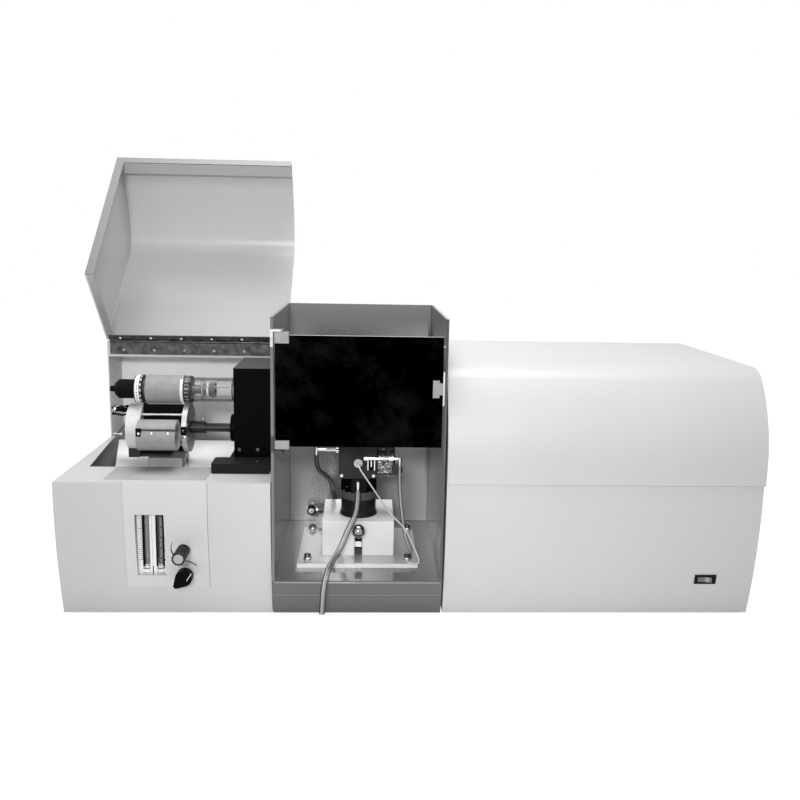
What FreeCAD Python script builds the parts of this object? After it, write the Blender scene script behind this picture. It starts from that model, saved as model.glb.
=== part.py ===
import FreeCAD, Part
import math
import os

V = FreeCAD.Vector
doc = FreeCAD.newDocument("spectrophotometer")
sheet = doc.addObject("Spreadsheet::Sheet", "dims")
row = [0]


class Q:
    """A length with the sheet formula that gives it."""

    def __init__(self, value, text):
        self.v = float(value)
        self.t = text

    def __add__(self, o):
        o = q(o)
        return Q(self.v + o.v, "(%s + %s)" % (self.t, o.t))

    __radd__ = __add__

    def __sub__(self, o):
        o = q(o)
        return Q(self.v - o.v, "(%s - %s)" % (self.t, o.t))

    def __rsub__(self, o):
        return q(o) - self

    def __mul__(self, o):
        o = q(o)
        return Q(self.v * o.v, "(%s * %s)" % (self.t, o.t))

    __rmul__ = __mul__

    def __truediv__(self, o):
        o = q(o)
        return Q(self.v / o.v, "(%s / %s)" % (self.t, o.t))

    def __neg__(self):
        return Q(-self.v, "(0 - %s)" % self.t)


def q(x):
    if isinstance(x, Q):
        return x
    return Q(x, "%.6g" % x)


def dim(alias, value):
    row[0] += 1
    sheet.set("A%d" % row[0], alias)
    sheet.set("B%d" % row[0], "%.6g" % value)
    sheet.setAlias("B%d" % row[0], alias)
    return Q(value, "dims.%s" % alias)


# Driving dimensions, front plane at Y 0, bench at Z 0
width = dim("width", 1040)
depth = dim("depth", 376)
foot_h = dim("foot_height", 6)
seam_z = dim("seam_height", 214)
top_z = dim("top_height", 383)
hood_z = dim("chamber_height", 455)
floor_z = dim("chamber_floor", 64)
left_edge = dim("left_base_right", -209)
cham_l = dim("chamber_left", -208)
cham_r = dim("chamber_right", 45)
right_l = dim("right_housing_left", 48)
skin = dim("skin", 2)
wall = dim("chamber_wall", 4)
shift_x = dim("shift_across", -0.75)
shift_y = dim("shift_along", -205.06)
beam_y = dim("beam_along", 134)
beam_z = dim("beam_height", 327)
turret_z = dim("turret_height", 266)
hinge_y = dim("hinge_along", 284)
hinge_z = dim("hinge_height", 384)
lid_open = dim("lid_opening", 138.4)
knuckle_r = dim("knuckle_radius", 2.25)
burner_x = dim("burner_across", -81.5)
burner_y = dim("burner_along", 134)
cover_proud = dim("cover_proud", 1.5)
ledge = dim("ledge_depth", 84)
bay_floor = dim("bay_floor_height", 206)
bay_back = dim("bay_back_along", 362)
valve_x = dim("valve_across", -333.8)
valve_z = dim("valve_height", 115.4)
sel_x = dim("selector_across", -334)
sel_z = dim("selector_height", 74)
lamp_ring = dim("lamp_ring_radius", 61)
doc.recompute()

half = width / 2
nodes = []
places = {}


def keep(obj, label, turn=None):
    """Names a finished piece and moves it from the front plane to the object's own origin."""
    obj.Label = label
    if obj.Name in places:
        x, y = places[obj.Name]
        put(obj, "Placement.Base.x", shift_x + x)
        put(obj, "Placement.Base.y", shift_y + y)
    elif turn is None:
        obj.Placement = FreeCAD.Placement(V(shift_x.v, shift_y.v, 0), FreeCAD.Rotation())
        obj.setExpression("Placement.Base.x", shift_x.t)
        obj.setExpression("Placement.Base.y", shift_y.t)
    else:
        obj.Placement = turn
    nodes.append((label, obj))
    return obj


def lid_turn(obj):
    """Binds a lid piece, drawn closed, to the opening angle about the hinge."""
    c = "cos(-dims.lid_opening)"
    s = "sin(-dims.lid_opening)"
    obj.Placement = FreeCAD.Placement(V(0, 0, 0), FreeCAD.Rotation(V(1, 0, 0), -lid_open.v))
    hy = "dims.hinge_along"
    hz = "dims.hinge_height"
    obj.setExpression("Placement.Rotation.Angle", "-dims.lid_opening")
    obj.setExpression("Placement.Base.x", shift_x.t)
    obj.setExpression("Placement.Base.y", "dims.shift_along + %s - %s * %s + %s * %s" % (hy, hy, c, hz, s))
    obj.setExpression("Placement.Base.z", "%s - %s * %s - %s * %s" % (hz, hy, s, hz, c))


def put(obj, prop, value):
    value = q(value)
    if "dims." in value.t:
        obj.setExpression(prop, value.t)
    else:
        if prop.startswith("Placement.Base."):
            b = obj.Placement.Base
            setattr(b, prop[-1], value.v)
            obj.Placement = FreeCAD.Placement(b, obj.Placement.Rotation)
        else:
            setattr(obj, prop, value.v)


def box(x0, x1, y0, y1, z0, z1, name="block"):
    o = doc.addObject("Part::Box", name)
    put(o, "Length", q(x1) - x0)
    put(o, "Width", q(y1) - y0)
    put(o, "Height", q(z1) - z0)
    put(o, "Placement.Base.x", x0)
    put(o, "Placement.Base.y", y0)
    put(o, "Placement.Base.z", z0)
    places[o.Name] = (x0, y0)
    return o


AXES = {
    "x": FreeCAD.Rotation(V(0, 1, 0), 90),
    "y": FreeCAD.Rotation(V(1, 0, 0), -90),
    "z": FreeCAD.Rotation(),
    "-y": FreeCAD.Rotation(V(1, 0, 0), 90),
}


def rod(axis, x, y, z, radius, length, name="rod"):
    o = doc.addObject("Part::Cylinder", name)
    o.Placement = FreeCAD.Placement(V(0, 0, 0), AXES[axis])
    put(o, "Radius", radius)
    put(o, "Height", length)
    put(o, "Placement.Base.x", x)
    put(o, "Placement.Base.y", y)
    put(o, "Placement.Base.z", z)
    places[o.Name] = (x, y)
    return o


def cone(axis, x, y, z, r1, r2, length, name="cone"):
    o = doc.addObject("Part::Cone", name)
    o.Placement = FreeCAD.Placement(V(0, 0, 0), AXES[axis])
    put(o, "Radius1", r1)
    put(o, "Radius2", r2)
    put(o, "Height", length)
    put(o, "Placement.Base.x", x)
    put(o, "Placement.Base.y", y)
    put(o, "Placement.Base.z", z)
    places[o.Name] = (x, y)
    return o


def cut(base, tool, name="cut"):
    if isinstance(tool, (list, tuple)):
        tool = fuse(tool, "tools") if len(tool) > 1 else tool[0]
    o = doc.addObject("Part::Cut", name)
    o.Base = base
    o.Tool = tool
    return o


def fuse(parts, name="fused"):
    o = doc.addObject("Part::MultiFuse", name)
    o.Shapes = list(parts)
    return o


def together(parts, name="set"):
    """Several loose pieces of one kind, kept as separate solids."""
    o = doc.addObject("Part::Compound", name)
    o.Links = list(parts)
    return o


def round_edges(base, radius, pick, name="rounded"):
    doc.recompute()
    o = doc.addObject("Part::Fillet", name)
    o.Base = base
    o.Edges = [(i + 1, radius, radius) for i, e in enumerate(base.Shape.Edges) if pick(e)]
    return o


def bevel_edges(base, size, pick, name="bevelled"):
    doc.recompute()
    o = doc.addObject("Part::Chamfer", name)
    o.Base = base
    o.Edges = [(i + 1, size, size) for i, e in enumerate(base.Shape.Edges) if pick(e)]
    return o


def upright(e):
    a, b = e.Vertexes[0].Point, e.Vertexes[-1].Point
    return len(e.Vertexes) == 2 and abs(a.x - b.x) + abs(a.y - b.y) < 1e-6


def along_x(e):
    a, b = e.Vertexes[0].Point, e.Vertexes[-1].Point
    return len(e.Vertexes) == 2 and abs(a.z - b.z) + abs(a.y - b.y) < 1e-6


# Body building with sketches on the body's own planes
def body(name):
    b = doc.addObject("PartDesign::Body", name)
    return b


def sketch(b, name, role, offset=0.0):
    s = b.newObject("Sketcher::SketchObject", name)
    plane = [f for f in b.Origin.OriginFeatures if f.Role == role][0]
    s.AttachmentSupport = [(plane, "")]
    s.MapMode = "FlatFace"
    s.AttachmentOffset = FreeCAD.Placement(V(0, 0, q(offset).v), FreeCAD.Rotation())
    if "dims." in q(offset).t:
        s.setExpression("AttachmentOffset.Base.z", q(offset).t)
    return s


def loop(s, points):
    """Closed outline. A point is (u, v), or (u, v, cu, cv, way) for an arc that arrives there."""
    n = len(points)
    for i in range(n):
        a = points[i]
        b = points[(i + 1) % n]
        if len(b) == 2:
            s.addGeometry(Part.LineSegment(V(a[0], a[1], 0), V(b[0], b[1], 0)), False)
        else:
            cu, cv, way = b[2], b[3], b[4]
            r = math.hypot(b[0] - cu, b[1] - cv)
            a0 = math.atan2(a[1] - cv, a[0] - cu)
            a1 = math.atan2(b[1] - cv, b[0] - cu)
            if way < 0:
                a0, a1 = a1, a0
            while a1 <= a0:
                a1 += 2 * math.pi
            s.addGeometry(Part.ArcOfCircle(Part.Circle(V(cu, cv, 0), V(0, 0, 1), r), a0, a1), False)


def rect(s, u0, u1, v0, v1):
    """Rectangle held by four bound distances."""
    us = [q(u0), q(u1)]
    vs = [q(v0), q(v1)]
    pts = [(us[0], vs[0]), (us[1], vs[0]), (us[1], vs[1]), (us[0], vs[1])]
    base = s.GeometryCount
    loop(s, [(a.v, b.v) for a, b in pts])
    import Sketcher as sk
    for i in range(4):
        s.addConstraint(sk.Constraint("Coincident", base + i, 2, base + (i + 1) % 4, 1))
    for i, kind in ((0, "Horizontal"), (1, "Vertical"), (2, "Horizontal"), (3, "Vertical")):
        s.addConstraint(sk.Constraint(kind, base + i))
    for (g, p), (u, v) in (((base, 1), pts[0]), ((base + 1, 2), pts[2])):
        for kind, val in (("DistanceX", u), ("DistanceY", v)):
            c = s.addConstraint(sk.Constraint(kind, -1, 1, g, p, val.v))
            if "dims." in val.t:
                s.setExpression("Constraints[%d]" % c, val.t)


def circle(s, u, v, r):
    """Circle held by its centre and radius."""
    import Sketcher as sk
    u, v, r = q(u), q(v), q(r)
    g = s.addGeometry(Part.Circle(V(u.v, v.v, 0), V(0, 0, 1), r.v), False)
    c = s.addConstraint(sk.Constraint("Radius", g, r.v))
    if "dims." in r.t:
        s.setExpression("Constraints[%d]" % c, r.t)
    for kind, val in (("DistanceX", u), ("DistanceY", v)):
        c = s.addConstraint(sk.Constraint(kind, -1, 1, g, 3, val.v))
        if "dims." in val.t:
            s.setExpression("Constraints[%d]" % c, val.t)


def pad(b, s, length, back=False):
    p = b.newObject("PartDesign::Pad", "Pad")
    p.Profile = s
    p.Reversed = back
    p.Length = q(length).v
    if "dims." in q(length).t:
        p.setExpression("Length", q(length).t)
    s.Visibility = False
    return p


def pocket(b, s, length, back=False):
    p = b.newObject("PartDesign::Pocket", "Pocket")
    p.Profile = s
    p.Reversed = back
    p.Length = q(length).v
    if "dims." in q(length).t:
        p.setExpression("Length", q(length).t)
    s.Visibility = False
    return p


def revolve(b, s, axis="V_Axis"):
    p = b.newObject("PartDesign::Revolution", "Revolution")
    p.Profile = s
    p.ReferenceAxis = (s, [axis])
    p.Angle = 360
    s.Visibility = False
    return p


# Bowed front: a long arc below the seam, two arcs above it
C1 = (797.0, 196.0, 800.0)
C2 = (204.7, 240.0, 210.0)
C3 = (70.7, 340.5, 42.5)


def front(z, d=0.0):
    """Distance along Y of the lower front at height z, d outward."""
    return C1[0] - math.sqrt((C1[2] + d) ** 2 - (z - C1[1]) ** 2)


def low_profile(z0, z1, y_back, d=0.0):
    return [(y_back, z1), (y_back, z0), (front(z0, d), z0), (front(z1, d), z1, C1[0], C1[1], -1)]


def high_profile(z0, d, y_back, z_top_cut=0.0):
    """Outline of the upper covers, from the bottom front corner round to the back."""
    n2 = (-0.8, 0.6)
    p2 = (C2[0] + n2[0] * (C2[2] + d), C2[1] + n2[1] * (C2[2] + d))
    top = C3[1] + C3[2] + d
    return [
        (y_back, z0),
        (C2[0] - C2[2] - d, z0),
        (C2[0] - C2[2] - d, C2[1]),
        (p2[0], p2[1], C2[0], C2[1], -1),
        (C3[0], top, C3[0], C3[1], -1),
        (y_back, top),
    ]


H = half.v

# Left base: bowed front, side walls, floor, front ledge and side flanges round the lamp bay
b = body("left_base")
s = sketch(b, "left_base_outline", "YZ_Plane", -half)
loop(s, low_profile(foot_h.v, seam_z.v, depth.v))
pad(b, s, left_edge + half)
s = sketch(b, "left_base_hollow", "YZ_Plane", -half + skin)
loop(s, low_profile(foot_h.v + 2, seam_z.v - 2, depth.v + 5, -2.0))
pocket(b, s, left_edge + half - skin * 2, True)
s = sketch(b, "left_base_bay_opening", "XY_Plane", seam_z + 1)
loop(s, [
    (-H + 26, ledge.v), (-216, ledge.v), (-216, 355), (-211.1, 355), (-211.1, depth.v + 5), (-H + 2.1, depth.v + 5),
    (-H + 2.1, 355), (-H + 6.5, 355), (-H + 7.5, 270),
])
pocket(b, s, 6)
s = sketch(b, "left_base_panel_opening", "XZ_Plane", 30)
rect(s, -421, -299.8, 51, 210)
pocket(b, s, 60, False)
s = sketch(b, "left_base_panel_notch", "XZ_Plane", 30)
rect(s, -421, -299.8, 205, 216)
pocket(b, s, 30.35, False)
keep(b, "left_base")

# Control panel insert, bowed like the base front
b = body("control_panel")
s = sketch(b, "panel_outline", "YZ_Plane", -420.6)
z0, z1 = 51.4, 215.6
loop(s, [
    (front(z1, -3.0), z1),
    (front(z0, -3.0), z0, C1[0], C1[1], 1),
    (front(z0, 0.8), z0),
    (front(z1, 0.8), z1, C1[0], C1[1], -1),
])
pad(b, s, 120.4)
s = sketch(b, "panel_window", "XZ_Plane", 30)
rect(s, -405, -363, 70, 166)
pocket(b, s, 60, False)
s = sketch(b, "panel_holes", "XZ_Plane", 30)
circle(s, valve_x, valve_z, 5.2)
circle(s, sel_x, sel_z, 4.2)
pocket(b, s, 60, False)
clips = [box(-404.5, -362.5, 10.4, 33.5, 63, 66), box(-404.5, -362.5, 0, 33.5, 169, 172)]
keep(fuse([b] + clips), "control_panel")

# Right lower housing and its upper cover
b = body("right_base")
s = sketch(b, "right_base_outline", "YZ_Plane", right_l)
loop(s, low_profile(foot_h.v, seam_z.v, depth.v))
pad(b, s, half - right_l)
s = sketch(b, "right_base_hollow", "YZ_Plane", right_l + skin)
loop(s, low_profile(foot_h.v + 2, seam_z.v + 4, depth.v + 5, -2.0))
pocket(b, s, half - right_l - skin * 2, True)
s = sketch(b, "right_base_switch_hole", "XZ_Plane", 30)
rect(s, 432, 461, 59.5, 70.5)
pocket(b, s, 60, False)
keep(b, "right_base")

b = body("right_cover")
s = sketch(b, "right_cover_outline", "YZ_Plane", right_l)
loop(s, high_profile(215, 0.0, depth.v))
pad(b, s, half + cover_proud - right_l)
s = sketch(b, "right_cover_hollow", "YZ_Plane", right_l + skin)
loop(s, high_profile(210, -2.0, depth.v + 5))
pocket(b, s, half + cover_proud - right_l - skin * 2, True)
s = sketch(b, "right_cover_beam_hole", "YZ_Plane", right_l - 2)
circle(s, beam_y, beam_z, 17)
pocket(b, s, 8, True)
keep(b, "right_cover")

# Back panels
louvres = [box(90 + i * 12, 96 + i * 12, 370, 380, 120, 190) for i in range(12)]
fan_hole = rod("y", 400, 370, 110, 38, 10)
inlet_hole = box(486, 512, 370, 380, 40, 61)
plug_hole = box(300, 330, 370, 380, 40, 52)
o = cut(box(right_l + 2.3, half - 2.3, depth - 2, depth, 8.3, top_z - 2.4), louvres + [fan_hole, inlet_hole, plug_hole])
fan_frame = cut(box(358, 442, 352, 374, 68, 152), rod("y", 400, 350, 110, 37.5, 30))
strut = fuse([box(360, 440, 352, 354, 107, 113), rod("y", 400, 352, 110, 13, 3)])
inlet = cut(box(487, 511, 360, 376, 41, 60), box(489, 509, 364, 380, 43, 58))
pins = [box(x, x + 2, 362, 374, z, z + 5) for x, z in ((492, 46), (504, 46), (498, 51))]
plug = cut(box(301, 329, 364, 376, 41, 51), box(303, 327, 368, 380, 43, 49))
flanges = cut(fuse([box(482, 516, 371, 374, 37, 64), box(296, 334, 371, 374, 37, 55)]),
              [box(488, 510, 365, 380, 42, 59), box(302, 328, 368, 380, 42, 50)])
keep(fuse([o, fan_frame, strut, inlet, plug, flanges] + pins), "rear_panel_right")
b = body("fan_rotor")
s = sketch(b, "rotor_hub", "XZ_Plane", -370)
circle(s, 400, 110, 13.5)
pad(b, s, 14.5)
s = sketch(b, "rotor_blade", "XZ_Plane", -368)
for i in range(7):
    c, n = math.cos(2 * math.pi * i / 7), math.sin(2 * math.pi * i / 7)
    blade = [(-2, 12), (2, 12), (10, 33), (7, 34)]
    loop(s, [(400 + u * c - v * n, 110 + u * n + v * c) for u, v in blade])
pad(b, s, 10)
keep(b, "fan_rotor")

ports = [rod("y", x, 370, 60, 6.2, 10) for x in (-440, -400, -360)]
left_panel = cut(box(-H + 2.3, left_edge - 2.3, depth - 2, depth, 8.3, seam_z - 2.3), ports)
unions = []
for x in (-440, -400, -360):
    hexes = doc.addObject("Part::Prism", "union_hex")
    hexes.Polygon = 6
    hexes.Circumradius = 9
    hexes.Height = 7
    hexes.Placement = FreeCAD.Placement(V(x, 376, 60), AXES["y"])
    unions.append(fuse([rod("y", x, 362, 60, 6, 30), hexes]))
keep(fuse([left_panel] + unions), "rear_panel_left")

# Fixed rear part above the left base, open to the lamp bay
outer = box(-half, left_edge, hinge_y + knuckle_r, depth, seam_z, top_z)
inner = box(-half + skin, left_edge - skin, hinge_y + knuckle_r + 2, depth - 2, seam_z - 5, top_z - skin)
mouth = box(-half + skin, left_edge - skin, hinge_y, hinge_y + 10, seam_z - 5, 357)
o = cut(outer, [inner, mouth])
keep(o, "rear_housing_left")
keep(box(-half + 2.3, left_edge - 2.3, bay_back, bay_back + 1.5, 150, top_z - 2.3), "lamp_bay_back")

# Floor of the lamp bay, cut slantwise at its left edge
b = body("lamp_bay_floor")
s = sketch(b, "bay_floor_outline", "XY_Plane", bay_floor - 2)
loop(s, [(-456, 84.5), (-214, 84.5), (-214, 298), (-509, 298)])
pad(b, s, 2)
s = sketch(b, "bay_floor_front", "XY_Plane", bay_floor - 2)
rect(s, -456, -214, 84.5, 86)
pad(b, s, 7.7)
s = sketch(b, "bay_floor_feet", "XZ_Plane", -296)
rect(s, -500, -480, 8.3, 204.5)
rect(s, -240, -220, 8.3, 204.5)
pad(b, s, 2)
keep(b, "lamp_bay_floor")

# Lid over the lamp bay, drawn closed
b = body("lamp_lid")
lid_back = 281.75
s = sketch(b, "lid_outline", "YZ_Plane", -half)
pts = high_profile(216, 0.0, lid_back)
pts[0] = (lid_back, 227.0)
pts[5] = (lid_back, 383.0)
loop(s, pts)
pad(b, s, half - 210)
s = sketch(b, "lid_hollow", "YZ_Plane", -half + 2)
pts = high_profile(217.5, -2.0, lid_back - 1.5)
pts[0] = (lid_back - 1.5, 228.5)
loop(s, pts)
pocket(b, s, half - 210, True)
s = sketch(b, "lid_mouth", "XY_Plane", 200)
loop(s, [(-H + 14, 8), (-205, 8), (-205, 290), (-H + 14, 290)])
pocket(b, s, 40, True)
s = sketch(b, "lid_back_opening", "XZ_Plane", -275)
rect(s, -H + 14, -205, 200, 370)
pocket(b, s, 20, False)
s = sketch(b, "lid_rim", "XY_Plane", 217.4)
rect(s, -H + 2, -210, -3.4, 8)
pad(b, s, 23)
s = sketch(b, "lid_rim_hollow", "YZ_Plane", -H + 2)
loop(s, [(-3.4, 218.6), (6.8, 218.6), (6.8, 239.2), (-3.4, 239.2)])
pocket(b, s, half - 210, True)
o = keep(b, "lamp_lid")
lid_turn(o)

# Piano hinge: leaves with alternate knuckles on one pin
span0, span1 = -515.0, -213.0
count = 15
step = (span1 - span0) / count
for which in (0, 1):
    parts = []
    if which == 0:
        parts.append(box(span0, span1, hinge_y + knuckle_r - 1, hinge_y + knuckle_r, 361, 381))
    else:
        parts.append(box(span0, span1, hinge_y - knuckle_r, hinge_y - knuckle_r + 1, 371.5, 381))
    for i in range(which, count, 2):
        a = span0 + i * step + 0.25
        c = span0 + (i + 1) * step - 0.25
        parts.append(rod("x", a, hinge_y, hinge_z, knuckle_r, c - a))
        y0 = hinge_y + knuckle_r - 1 if which == 0 else hinge_y - knuckle_r
        parts.append(box(a, c, y0, y0 + 1, 380.5, hinge_z))
    o = cut(fuse(parts), rod("x", span0 - 5, hinge_y, hinge_z, 1.05, 320))
    if which == 0:
        heads = [rod("-y", x, hinge_y + knuckle_r - 0.95, 369, 2.6, 1.2) for x in (-491, -439, -387, -336, -284, -232)]
    else:
        heads = [rod("y", x, hinge_y - knuckle_r + 0.95, 376, 2.4, 0.9) for x in (-495, -443, -391, -339, -287, -235)]
    o = fuse([o] + heads)
    if which == 0:
        pin = rod("x", span0 - 1, hinge_y, hinge_z, 1.0, span1 - span0 + 2)
        keep(together([o, pin]), "hinge_leaf_fixed")
    else:
        keep(o, "hinge_leaf_lid", o.Placement)
        lid_turn(o)

# Rests on the rear top that the open lid leans on
ang = math.radians(180 - lid_open.v)
stops = []
for x in (-470, -290):
    b = body("lid_stop_profile")
    s = sketch(b, "stop_outline", "YZ_Plane", x)
    off = 1.0 + 0.05
    y1, y2 = 330.0, 350.0
    z1 = 384 + (y1 - 284) * math.tan(ang) + off / math.cos(ang)
    z2 = 384 + (y2 - 284) * math.tan(ang) + off / math.cos(ang)
    loop(s, [(y1, 383), (y2 + 8, 383), (y2 + 8, 386), (y2, z2 - 0.6), (y1, z1 - 0.6)])
    pad(b, s, 10)
    stops.append(b)
keep(together(stops), "lid_stops")

# Flame chamber: sheet enclosure open at the front and the top
b = body("flame_chamber")
s = sketch(b, "chamber_outline", "YZ_Plane", cham_l)
loop(s, [
    (279, 455),
    (279, foot_h.v),
    (19, foot_h.v),
    (1.5, 64),
    (1.5, 455),
])
pad(b, s, cham_r - cham_l)
s = sketch(b, "chamber_room", "YZ_Plane", cham_l + wall)
loop(s, [(-15, 64), (277, 64), (277, 470), (-15, 470)])
pocket(b, s, cham_r - cham_l - wall * 2, True)
s = sketch(b, "chamber_under", "YZ_Plane", cham_l + wall)
loop(s, [(277, 62), (277, 0), (23, 0), (4.1, 62)])
pocket(b, s, cham_r - cham_l - wall * 2, True)
s = sketch(b, "chamber_beam_holes", "YZ_Plane", cham_l - 5)
circle(s, beam_y, beam_z, 16)
pocket(b, s, 300, True)
s = sketch(b, "chamber_pipe_hole", "XZ_Plane", -270)
circle(s, -165, 89, 7)
pocket(b, s, 20, False)
keep(b, "flame_chamber")

# Rear box behind the chamber
o = cut(box(cham_l, cham_r, 281, depth, 8, top_z), box(cham_l + 2, cham_r - 2, 270, depth - 2, 10, top_z - 2))
keep(o, "rear_bridge")

# Door of dark glass on two corner pivots
door_x = -194.5
door_y = 5.0
keep(box(-201.8, 38.5, 3, 7, 268, 429.5), "flame_door_glass")
pair = []
for z0, z1 in ((418, 433.5), (264.5, 277)):
    o = box(-202, -181.5, -0.5, 10.5, z0, z1)
    if z0 > 300:
        slot = box(-205, -180, 3, 7, z0 - 1, 429.5)
    else:
        slot = box(-205, -180, 3, 7, 268, z1 + 1)
    o = cut(o, slot)
    if z0 > 300:
        o = cut(o, rod("z", door_x, door_y, 429.6, 2.1, 10))
    else:
        o = cut(o, rod("z", door_x, door_y, 262, 2.1, 5.9))
    o = round_edges(o, 2.0, lambda e: upright(e) and abs(e.Vertexes[0].Point.x + 181.5) < 0.1
                    and not 1 < e.Vertexes[0].Point.y < 9)
    pair.append(o)
keep(together(pair), "door_clamps")
pair = []
for z0, pin in ((434.5, 430.2), (259.5, 261.5)):
    tab = fuse([box(-205, -194.5, -0.5, 1.5, z0, z0 + 3), box(-204, -194.5, 1.5, 9.5, z0, z0 + 3), rod("z", door_x, 4.5, z0, 5.0, 3)])
    flat = box(-208, -204, -0.5, 1.5, z0 - 22 if z0 > 300 else z0, z0 + 3 if z0 > 300 else z0 + 24)
    parts = [tab, rod("z", door_x, door_y, pin if z0 > 300 else z0, 1.9, 6)]
    pair.append(fuse(parts + [flat]))
keep(together(pair), "door_hinges")
keep(fuse([box(24, 33.5, -0.5, 3, 342, 367), box(31, 38.4, 0.5, 3, 346, 363)]), "door_catch_plate")
strike = fuse([box(39, 41, 1.8, 14, 330, 378), box(37.8, 41, 9, 14, 347, 362)])
stop = fuse([box(35, 41, 7.6, 12, 414, 416), rod("z", 36.5, 9.8, 416, 1.6, 4)])
keep(together([strike, stop]), "door_strike")

# Beam block between lamp bay and chamber
foot = fuse([box(-303, -216, 48, 90, 214, 229), box(-281, -216, 90, 214, 214, 229)])
foot = bevel_edges(foot, 3, lambda e: upright(e) and abs(e.Vertexes[0].Point.x + 303) < 0.1)
legs = [box(-278, -262, 190, 206, 206, 214.5), box(-240, -224, 190, 206, 206, 214.5), box(-278, -262, 96, 112, 206, 214.5)]
legs.append(box(-240, -224, 96, 112, 206, 214.5))
o = box(-274.2, -216, 91, 214, 229, 368)
bore = [rod("x", -280, beam_y, beam_z, 19, 40), rod("x", -245, beam_y, beam_z, 15, 40)]
bore.append(rod("x", -280, beam_y, turret_z, 7.6, 30))
block = cut(o, bore)
keep(rod("x", -262, beam_y, beam_z, 18.8, 4), "beam_lens")
o = cut(fuse([rod("x", -284, beam_y, turret_z, 21.5, 7), rod("x", -277, beam_y, turret_z, 15, 5)]),
        rod("x", -290, beam_y, turret_z, 7.3, 30))
heads = [rod("-y", x, 91.1, 241, 2.7, 1.7) for x in (-266, -238)]
heads.append(rod("z", -234.5, 59, 228.9, 2.7, 1.7))
keep(fuse([block, foot, o] + legs + heads), "beam_block")

# Two-lamp turret: ring, disc, cross, clamps and shaft on one axis
ring = cut(rod("x", -442, beam_y, turret_z, 36.5, 22), rod("x", -445, beam_y, turret_z, 30, 17))
o = cut(ring, rod("x", -450, beam_y, turret_z, 7.1, 40))
keep(o, "turret_ring")

b = body("turret_disc")
s = sketch(b, "disc_outline", "YZ_Plane", -356)
circle(s, beam_y, turret_z, 38.5)
circle(s, beam_y, turret_z, 7.1)
pad(b, s, 8)
s = sketch(b, "disc_holes", "YZ_Plane", -357)
for i in range(8):
    a = math.radians(22.5 + 45 * i)
    circle(s, 134 + 28.5 * math.cos(a), 266 + 28.5 * math.sin(a), 3.2)
pocket(b, s, 12, True)
keep(b, "turret_disc")

b = body("turret_cross")
s = sketch(b, "cross_outline", "YZ_Plane", -420)
w, r = 7.0, 38.0
cross = []
for i in range(4):
    ca, sa = math.cos(math.pi / 2 * i), math.sin(math.pi / 2 * i)
    for u, v in ((w, -w), (r, -w), (r, w)):
        cross.append((134 + u * ca - v * sa, 266 + u * sa + v * ca))
loop(s, cross)
pad(b, s, 64)
s = sketch(b, "cross_bore", "YZ_Plane", -421)
circle(s, beam_y, turret_z, 7.1)
pocket(b, s, 70, True)
keep(b, "turret_cross")

ties = []
for a in (52, 128, 232, 308):
    y = 134 + 30 * math.cos(math.radians(a))
    z = 266 + 30 * math.sin(math.radians(a))
    ties.append(rod("x", -420, y, z, 2.6, 64))

shaft = [rod("x", -446, beam_y, turret_z, 7.0, 180), rod("x", -347.5, beam_y, turret_z, 10, 23)]
keep(fuse(shaft), "turret_shaft")


def clamp(label, angle):
    """Split lamp clamp at the given angle from straight up, towards the front."""
    cy = beam_y.v - lamp_ring.v * math.sin(angle)
    cz = turret_z.v + lamp_ring.v * math.cos(angle)
    b = body(label)
    s = sketch(b, label + "_tube", "YZ_Plane", -414)
    circle(s, cy, cz, 22.3)
    pad(b, s, 58)
    s = sketch(b, label + "_lip", "YZ_Plane", -414)
    a0, a1 = math.radians(37.5) - angle, math.radians(115) - angle
    loop(s, [
        (cy + 21 * math.sin(a0), cz + 21 * math.cos(a0)),
        (cy + 24.4 * math.sin(a0), cz + 24.4 * math.cos(a0)),
        (cy + 24.4 * math.sin(a1), cz + 24.4 * math.cos(a1), cy, cz, -1),
        (cy + 21 * math.sin(a1), cz + 21 * math.cos(a1)),
    ])
    pad(b, s, 58)
    s = sketch(b, label + "_pad", "YZ_Plane", -414)
    ca, sa = math.cos(angle), math.sin(angle)
    pts = [(-7, 38.3), (7, 38.3), (7, 45), (-7, 45)]
    loop(s, [(134 - v * sa + u * ca, 266 + v * ca + u * sa) for u, v in pts])
    pad(b, s, 58)
    s = sketch(b, label + "_bore", "YZ_Plane", -415)
    circle(s, cy, cz, 19.05)
    pocket(b, s, 70, True)
    s = sketch(b, label + "_split", "YZ_Plane", -415)
    tilt = math.radians(33)
    slot = [(x * math.cos(tilt) + r * math.sin(tilt), r * math.cos(tilt) - x * math.sin(tilt))
            for x, r in ((-1.4, 15), (1.4, 15), (1.4, 30), (-1.4, 30))]
    loop(s, [(cy - v * sa + u * ca, cz + v * ca + u * sa) for u, v in slot])
    pocket(b, s, 70, True)
    s = sketch(b, label + "_seats", "XY_Plane" if angle == 0 else "XZ_Plane", 346.8 if angle == 0 else -53.2)
    for x in (-409, -390, -366):
        circle(s, x, 142 if angle == 0 else 274, 2.7)
    pocket(b, s, 10, True)
    return b


keep(together([clamp("top_clamp", 0.0), clamp("front_clamp", math.pi / 2)]), "lamp_clamps")
pins = ties
for x in (-409, -390, -366):
    pins.append(rod("-y", x, 53.2, 274, 2.0, 2.4))
    pins.append(rod("z", x, 142, 346.8, 2.0, 2.4))
pins.append(rod("z", -329, beam_y, 276, 1.8, 3))
keep(together(pins), "turret_rods_and_screws")

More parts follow.
